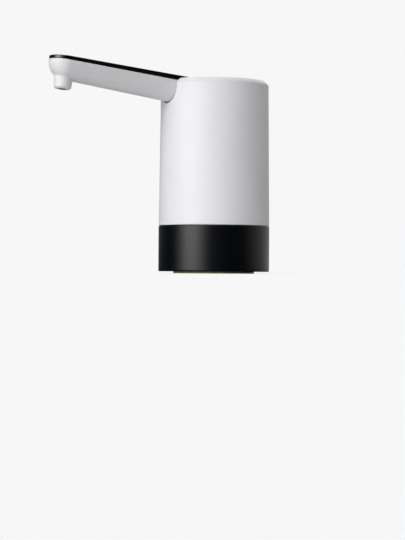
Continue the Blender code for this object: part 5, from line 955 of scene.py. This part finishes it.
def makeArm():
    spout = armBody("spoutArm", arm["root"], arm["reach"], drop=arm["seam"], edge=arm["edge"])
    ears, holes = [], []
    ear = arm["ear"]
    low, high = arm["earSpan"]
    away, aside = lid["ear"]
    for side in (-1, 1):
        near, far = sorted((side * ear["inner"], side * ear["outer"]))
        corners = (-ear["far"], near, low), (-ear["near"], far, high)
        ears.append(slab(f"ear{side}", *corners, ear["corner"], armTurn))
    shapeWith(spout, "UNION", makeCollar(), *ears)
    start = arm["root"] - overrun
    channel = armBody("channel", start, arm["reach"], inset=arm["wall"], rise=overrun, count=40, turns=12)
    top = -armSection(arm["reach"])[0]
    bore = rod("nozzleBore", nozzle["bore"], -arm["reach"], 0, nozzle["boreLow"], top, steps=96, turn=armTurn)
    radius, low, high = arm["earHole"]
    for side in (-1, 1):
        holes.append(rod(f"earHole{side}", radius, -away, side * aside, low, high, turn=armTurn))
    shapeWith(spout, "DIFFERENCE", channel, bore, *holes)
    return dress(spout, [whiteAbs], "spout_arm", sharp=35.0)


def makeInsert():
    strip, depth = armSection(arm["reach"])
    low = -strip - depth - nozzle["drop"] + nozzle["inset"]
    high = -strip - nozzle["insertTop"]
    radius, outlet, end = nozzle["insertRadius"], nozzle["outlet"], low + nozzle["outletDeep"]
    profile = [
        (0, high),
        (radius, high),
        (radius, low + nozzle["insertEase"]),
        (radius - nozzle["insertEase"], low),
        (outlet + nozzle["outletEase"], low),
        (outlet, low + nozzle["outletEase"]),
        (outlet, end),
        (0, end),
    ]
    axis = armTurn @ Matrix.Translation((-arm["reach"], 0, 0))
    insert = turned("nozzleInsert", profile, steps=96, turn=axis)
    level = -strip - (depth - arm["wall"]) / 2
    along = axis @ Matrix.Translation((0, 0, level)) @ Matrix.Rotation(math.pi / 2, 4, "Y")
    ends = {}
    for name in ("barb", "barbWay"):
        radius, start, stop = nozzle[name]
        ends[name] = rod(name, radius, 0, 0, start, stop, steps=32, turn=along)
    shapeWith(insert, "UNION", ends["barb"])
    shapeWith(insert, "DIFFERENCE", ends["barbWay"])
    dress(insert, [insertAbs, sealRubber], "nozzle")
    toAxis = axis.inverted()
    for face in insert.data.polygons:
        # The outlet's inside gets the black rubber finish as painted shade, so that the hole reads dark.
        spot = toAxis @ face.center
        within = math.hypot(spot.x, spot.y) < outlet + nozzle["lining"]
        if within and low + nozzle["insertEase"] < spot.z < high - overrun:
            face.material_index = 1
    return insert


makeArm()
makeInsert()
print("spout arm made")


# Gloss strip along the arm

strip = metres(
    ease=0.45, lowerEase=0.15, hole=8.42, holeLow=-5,
)


def stripOutline(inset, steps=48):
    radius = arm["half"] - inset
    return arcPoints(0, 0, radius, -90, 90, steps) + arcPoints(-arm["reach"], 0, radius, 90, 270, steps)


def makeStrip():
    shape = bmesh.new()
    loops = [(strip["lowerEase"], 0.0, True), (0.0, strip["lowerEase"], True)]
    for inset, drop in arcPoints(strip["ease"], strip["ease"], strip["ease"], 180, 270, 6):
        loops.append((inset, -drop, False))
    rows = []
    for inset, lift, lower in loops:
        row = []
        for x, y in stripOutline(inset):
            row.append(shape.verts.new((x, y, lift - armSection(-x)[0] if lower else lift)))
        rows.append(row)
    joinRows(shape, rows, len(rows[0]))
    shape.faces.new(rows[0])
    shape.faces.new(rows[-1])
    plate = closeShape("topStrip", shape, armTurn)
    hole = rod("lightHole", strip["hole"], 0, 0, strip["holeLow"], overrun, steps=128, turn=armTurn)
    shapeWith(plate, "DIFFERENCE", hole)
    return dress(plate, [stripAcrylic], "arm_top_plate", sharp=30.0)


# Button and its light ring

button = metres(
    radius=7.0, proud=0.6, dish=0.35, ease=0.6, flange=8.2, flangeTop=-5.65, flangeLow=-6.95, hollow=5.6,
    skin=1.8, post=2.0, postEnd=-8.15, ringInner=7.16, ringOuter=8.3, ringLow=-3.45, ringEase=0.2,
)


def makeButton():
    rim = button["radius"] - button["ease"]
    dish = [(rim * i / 12, button["proud"] - button["dish"] * (1 - (i / 12) ** 2)) for i in range(12)]
    edge = arcPoints(rim, button["proud"] - button["ease"], button["ease"], 90, 0, 8)
    under = button["proud"] - button["skin"]
    profile = dish + edge + [
        (button["radius"], button["flangeTop"]),
        (button["flange"], button["flangeTop"]),
        (button["flange"], button["flangeLow"]),
        (button["hollow"], button["flangeLow"]),
        (button["hollow"], under),
        (button["post"], under),
        (button["post"], button["postEnd"]),
        (0, button["postEnd"]),
    ]
    key = turned("buttonKey", profile, steps=128, turn=armTurn)
    return dress(key, [buttonAbs], "power_button", body="button")


def makeLightRing():
    corners = [
        (button["ringInner"], 0), (button["ringOuter"], 0),
        (button["ringOuter"], button["ringLow"]), (button["ringInner"], button["ringLow"]),
    ]
    section = softened(corners, button["ringEase"], closed=True)
    ring = turned("lightRing", section, steps=128, closed=True, turn=armTurn)
    return dress(ring, [guidePlastic], "indicator_ring")


makeStrip()
makeButton()
makeLightRing()
print("strip and button made")


# Foot ring

foot = metres(
    radius=35.5, bottom=-17.0, top=12.0, corner=0.8, edge=0.3, wallInner=32.7, floor=-14.8, socket=26.2,
    collar=28.2, roof=2.5, tongue=(33.1, 31.2, 15.3),
    tongueSlope=(4.3, 2.3),  # below the top, where the wall starts and ends its lean
    lipWidth=3, socketEase=0.3, ease=0.15, seat=(24.5, -2.4), bead=(-9.0, 1.5, 0.7), wellRadius=2.6,
    wellTop=7.0, screwHole=1.5, postRadius=3.9,
    postLimit=32.9,  # the posts are cut off short of the wall's outside here
    pumpPostRadius=2.8, inlet=(12.5, -7.5, 6.0), pumpPosts=((22.6, -11.0), (-6.6, -15.5)), pumpPostTop=12.7,
)


def makeFoot():
    outer, inner, tongueTop = foot["tongue"]
    beadLevel, beadHalf, beadRise = foot["bead"]
    seatRadius, seatLevel = foot["seat"]
    outside = arcPoints(foot["radius"] - foot["edge"], foot["top"] - foot["edge"], foot["edge"], 90, 0, 5)
    corner = foot["corner"]
    outside += arcPoints(foot["radius"] - corner, foot["bottom"] + corner, corner, 0, -90, 10)
    socket = softened(
        [
            (foot["radius"] - foot["lipWidth"], foot["bottom"]),
            (foot["socket"], foot["bottom"]),
            (foot["socket"], beadLevel - beadHalf),
            (foot["socket"] + beadRise, beadLevel),
            (foot["socket"], beadLevel + beadHalf),
            (foot["socket"], seatLevel),
            (seatRadius, seatLevel),
            (seatRadius, 0),
            (0, 0),
        ],
        foot["socketEase"],
    )
    slopeStart, slopeEnd = foot["tongueSlope"]
    profile = [
        (0, foot["roof"]),
        (foot["collar"], foot["roof"]),
        (foot["collar"], foot["floor"]),
        (foot["wallInner"], foot["floor"]),
        (foot["wallInner"], foot["top"] - slopeStart),
        (inner, foot["top"] - slopeEnd),
        (inner, tongueTop),
        (outer, tongueTop),
        (outer, foot["top"]),
    ]
    ring = turned("footRing", profile + outside + socket, steps=192)
    posts, removed = [], []
    for i, angle in enumerate(boltAngles):
        x, y = onCircle(shell["bossCircle"], angle)
        outline = []
        for px, py in ringPoints(x, y, foot["postRadius"], 48):
            draw = min(1.0, foot["postLimit"] / math.hypot(px, py))
            outline.append((px * draw, py * draw))
        posts.append(extruded(f"post{i}", outline, foot["floor"] - overrun, tongueTop))
        removed.append(rod(f"well{i}", foot["wellRadius"], x, y, foot["bottom"] - overrun, foot["wellTop"]))
        removed.append(rod(f"wellHole{i}", foot["screwHole"], x, y, foot["bottom"], tongueTop + overrun))
    top = foot["pumpPostTop"]
    for i, (x, y) in enumerate(foot["pumpPosts"]):
        posts.append(rod(f"pumpPost{i}", foot["pumpPostRadius"], x, y, foot["roof"] / 2, top))
        removed.append(rod(f"pumpHole{i}", foot["screwHole"], x, y, foot["roof"] + overrun, top + overrun))
    x, y, radius = foot["inlet"]
    removed.append(rod("inletHole", radius, x, y, -overrun, foot["roof"] + overrun, steps=96))
    shapeWith(ring, "UNION", *posts)
    shapeWith(ring, "DIFFERENCE", *removed)
    easeEdges(ring, foot["ease"])
    return dress(ring, [blackAbs], "base_ring", sharp=35.0)


# Silicone sleeve that grips the bottle's neck

sleeve = metres(
    radius=25.9, inner=24.3, top=-2.7, bottom=-18.2, edge=0.35, ribs=(-15.6, -10.6), ribHalf=0.8, ribRise=0.6,
    bead=(-9.0, 1.2, 0.7),
)


def makeSleeve():
    beadLevel, beadHalf, beadRise = sleeve["bead"]
    corners = [
        (sleeve["inner"], sleeve["top"]),
        (sleeve["radius"], sleeve["top"]),
        (sleeve["radius"], beadLevel + beadHalf),
        (sleeve["radius"] + beadRise, beadLevel),
        (sleeve["radius"], beadLevel - beadHalf),
        (sleeve["radius"], sleeve["bottom"]),
        (sleeve["inner"], sleeve["bottom"]),
    ]
    for level in sleeve["ribs"]:
        corners += [
            (sleeve["inner"], level - sleeve["ribHalf"]),
            (sleeve["inner"] - sleeve["ribRise"], level),
            (sleeve["inner"], level + sleeve["ribHalf"]),
        ]
    seal = turned("neckSeal", softened(corners, sleeve["edge"], closed=True), steps=192, closed=True)
    return dress(seal, [neckSilicone], "neck_seal", sharp=60.0)


makeFoot()
makeSleeve()
print("foot ring and sleeve made")


# Charging port: cover, anchor and socket


def wallForm(name):
    grow = port["proud"]
    profile = [
        (0, shell["top"]),
        (shell["topRadius"] + grow, shell["top"]),
        (shell["footRadius"] + grow, shell["foot"]),
        (0, shell["foot"]),
    ]
    return turned(name, profile, steps=256)


def makeCover():
    x, level = port["hinge"]
    half = port["coverHalf"]
    inner = port["floor"] + port["coverGap"]
    outline = [(-half, level), (half, level), (half, port["coverTop"]), (-half, port["coverTop"])]
    corners = softened(outline[1:] + outline[:1], port["corner"] - port["coverGap"], steps=8)
    cover = extruded("portCover", [(-half, level)] + corners[:-1], inner, port["cut"][1], outOfBack)
    shapeWith(cover, "INTERSECT", wallForm("coverForm"))
    easeEdges(cover, port["ease"], angle=60.0, segments=3)
    axis = Matrix.Translation((x, 0, level)) @ Matrix.Rotation(math.pi / 2, 4, "X")
    radius, reach = port["hingeRadius"], half - port["hingeInset"]
    bar = softened([(0, -reach), (radius, -reach), (radius, reach), (0, reach)], port["hingeEase"])
    stub = extruded("stub", roundedBar(*port["stub"], port["level"]), *port["stubSpan"], outOfBack)
    shapeWith(cover, "UNION", turned("knuckle", bar, steps=48, turn=axis), stub)
    return dress(cover, [coverRubber], "usb_port_cover", body="port_cover", sharp=45.0)


def makeAnchor():
    low, high = port["anchor"]
    half = port["coverHalf"]
    inner = port["floor"] + port["coverGap"]
    outline = [(half, high), (half, low), (-half, low), (-half, high)]
    corners = softened(outline, port["corner"] - port["coverGap"], steps=8)
    anchor = extruded("coverAnchor", corners, inner, port["cut"][1], outOfBack)
    shapeWith(anchor, "INTERSECT", wallForm("anchorForm"))
    radius, behind, ahead = port["pegPin"]
    peg = rod("peg", radius, 0, (low + high) / 2, inner - behind, inner + ahead, steps=48, turn=outOfBack)
    shapeWith(anchor, "UNION", peg)
    easeEdges(anchor, port["ease"], angle=60.0, segments=3)
    return dress(anchor, [coverRubber], "usb_cover_anchor", sharp=45.0)


usb = metres(
    mouth=30.9, length=7.3, outer=(4.5, 1.6, 1.6), inside=(4.05, 1.15, 1.15), tongue=(3.2, 0.35, 0.2),
    tongueEnds=(0.5, 1.2),
    plasticZone=(3.3, 0.4),  # across and upwards from the socket's middle
)


def makeSocket():
    # A drawn steel shell round a moulded tongue
    mouth, level = usb["mouth"], port["level"]
    rear = mouth - usb["length"]
    socket = extruded("usbSocket", roundedBar(*usb["outer"], level), rear, mouth, outOfBack)
    hollow = roundedBar(*usb["inside"], level)
    shapeWith(socket, "DIFFERENCE", extruded("hollow", hollow, rear + overrun, mouth + overrun, outOfBack))
    start, end = usb["tongueEnds"]
    tongue = roundedBar(*usb["tongue"], level)
    shapeWith(socket, "UNION", extruded("tongue", tongue, rear + start, mouth - end, outOfBack))
    dress(socket, [steel, componentEpoxy], "usb_socket")
    across, upwards = usb["plasticZone"]
    for face in socket.data.polygons:
        spot = face.center
        inTongue = abs(spot.z - level) < upwards and abs(spot.y) < across
        if inTongue and rear + overrun < spot.x < mouth - overrun:
            face.material_index = 1
    return socket


makeCover()
makeAnchor()
makeSocket()
print("charging port made")


# Pump cover with its barbed inlet, the ring seal round it, and the screws

inlet = metres(
    plate=((-1.5, -22.0, 2.8), (17.5, 7.0, 5.8)), corner=2.6, axis=(12.5, -7.5), radius=3.6, bore=2.2,
    drop=-14.0, barbPitch=3.2, barbRise=0.5, barbEase=0.2, seat=4.3, ease=0.12,
    wells=((1.5, 8, -2.5), (1.45, 8, -12.5)),  # for the pin and the shaft
    screwHole=1.5, headSink=(2.6, 4.1), cut=(2, 7),
    screws=((1.0, -19.5), (15.0, -19.5), (1.0, 4.5), (15.0, 4.5)), ringRadius=4.8, ringSection=0.88,
    ringLevel=1.25,
) | {"barbs": 3}


def makePumpCover():
    plate = slab("pumpCover", *inlet["plate"], inlet["corner"])
    profile = [(0, inlet["seat"]), (inlet["radius"], inlet["seat"])]
    for i in reversed(range(inlet["barbs"])):
        level = inlet["drop"] + inlet["barbPitch"] * (i + 1)
        profile.append((inlet["radius"], level))
        profile.append((inlet["radius"] + inlet["barbRise"], level - inlet["barbRise"]))
    profile += [(inlet["radius"] - inlet["barbRise"], inlet["drop"]), (0, inlet["drop"])]
    section = softened(profile, inlet["barbEase"], steps=3)
    pipe = turned("pipe", section, steps=96, place=inlet["axis"])
    low, high = inlet["cut"]
    removed = [rod("pipeBore", inlet["bore"], *inlet["axis"], inlet["drop"] - overrun, high)]
    for i, (radius, x, y) in enumerate(inlet["wells"]):
        removed.append(rod(f"well{i}", radius, x, y, inlet["seat"], high))
    sinkRadius, sinkTop = inlet["headSink"]
    for i, (x, y) in enumerate(inlet["screws"]):
        removed.append(rod(f"screwHole{i}", inlet["screwHole"], x, y, low, high, steps=32))
        removed.append(rod(f"headSink{i}", sinkRadius, x, y, low, sinkTop, steps=32))
    shapeWith(plate, "UNION", pipe)
    shapeWith(plate, "DIFFERENCE", *removed)
    easeEdges(plate, inlet["ease"], angle=60.0)
    return dress(plate, [acetal], "pump_cover")


def makeInletSeal():
    section = ringPoints(inlet["ringRadius"], inlet["ringLevel"], inlet["ringSection"], 16)
    seal = turned("inletSeal", section, steps=96, closed=True, place=inlet["axis"])
    return dress(seal, [sealRubber], "inlet_oring", sharp=80.0)


screw = metres(
    head=2.3, headHeight=1.6, crown=0.12, shank=1.2, pitch=1.0, threadCut=0.25, face=5.1, length=13.0,
    crossLength=2.7, crossWidth=0.5, crossDepth=0.9,
) | {"crownShare": 0.62, "shoulderShare": 0.6, "roundShare": 0.38, "pointShare": 0.4}


def makeScrew(name, node, place):
    # A pan head with a cross recess over a thread, drawn with its face at zero and the shank down
    head, height, shank = screw["head"], screw["headHeight"], screw["shank"]
    crown = [(head * screw["crownShare"] * i / 6, -screw["crown"] * (i / 6) ** 2) for i in range(7)]
    shoulder = head * screw["crownShare"], -height * screw["shoulderShare"]
    crown += arcPoints(*shoulder, head * screw["roundShare"], 75, 0, 6)
    profile = [(r, min(0.0, z)) for r, z in crown] + [(head, -height), (shank, -height)]
    turns = int(screw["length"] / screw["pitch"]) - 1
    for i in range(turns):
        level = -height - screw["pitch"] * (i + 0.5)
        profile += [(shank - screw["threadCut"], level), (shank, level - screw["pitch"] / 2)]
    profile += [(shank * screw["pointShare"], -height - screw["length"]), (0, -height - screw["length"])]
    made = turned(name, profile, steps=48, turn=place)
    half, wide = screw["crossLength"] / 2, screw["crossWidth"] / 2
    cross = [
        slab(f"{name}Slot{i}", (-a, -b, -screw["crossDepth"]), (a, b, overrun), turn=place)
        for i, (a, b) in enumerate(((half, wide), (wide, half)))
    ]
    shapeWith(made, "DIFFERENCE", *cross)
    return dress(made, [screwZinc], node, sharp=40.0)


makePumpCover()
makeInletSeal()
faceDown = Matrix.Rotation(math.pi, 4, "X")
for i, angle in enumerate(boltAngles):
    x, y = onCircle(shell["bossCircle"], angle)
    place = Matrix.Translation((x, y, screw["face"])) @ faceDown
    makeScrew(f"footScrew{i + 1}", f"base_screw_{i + 1}", place)
print("pump inlet and foot screws made")
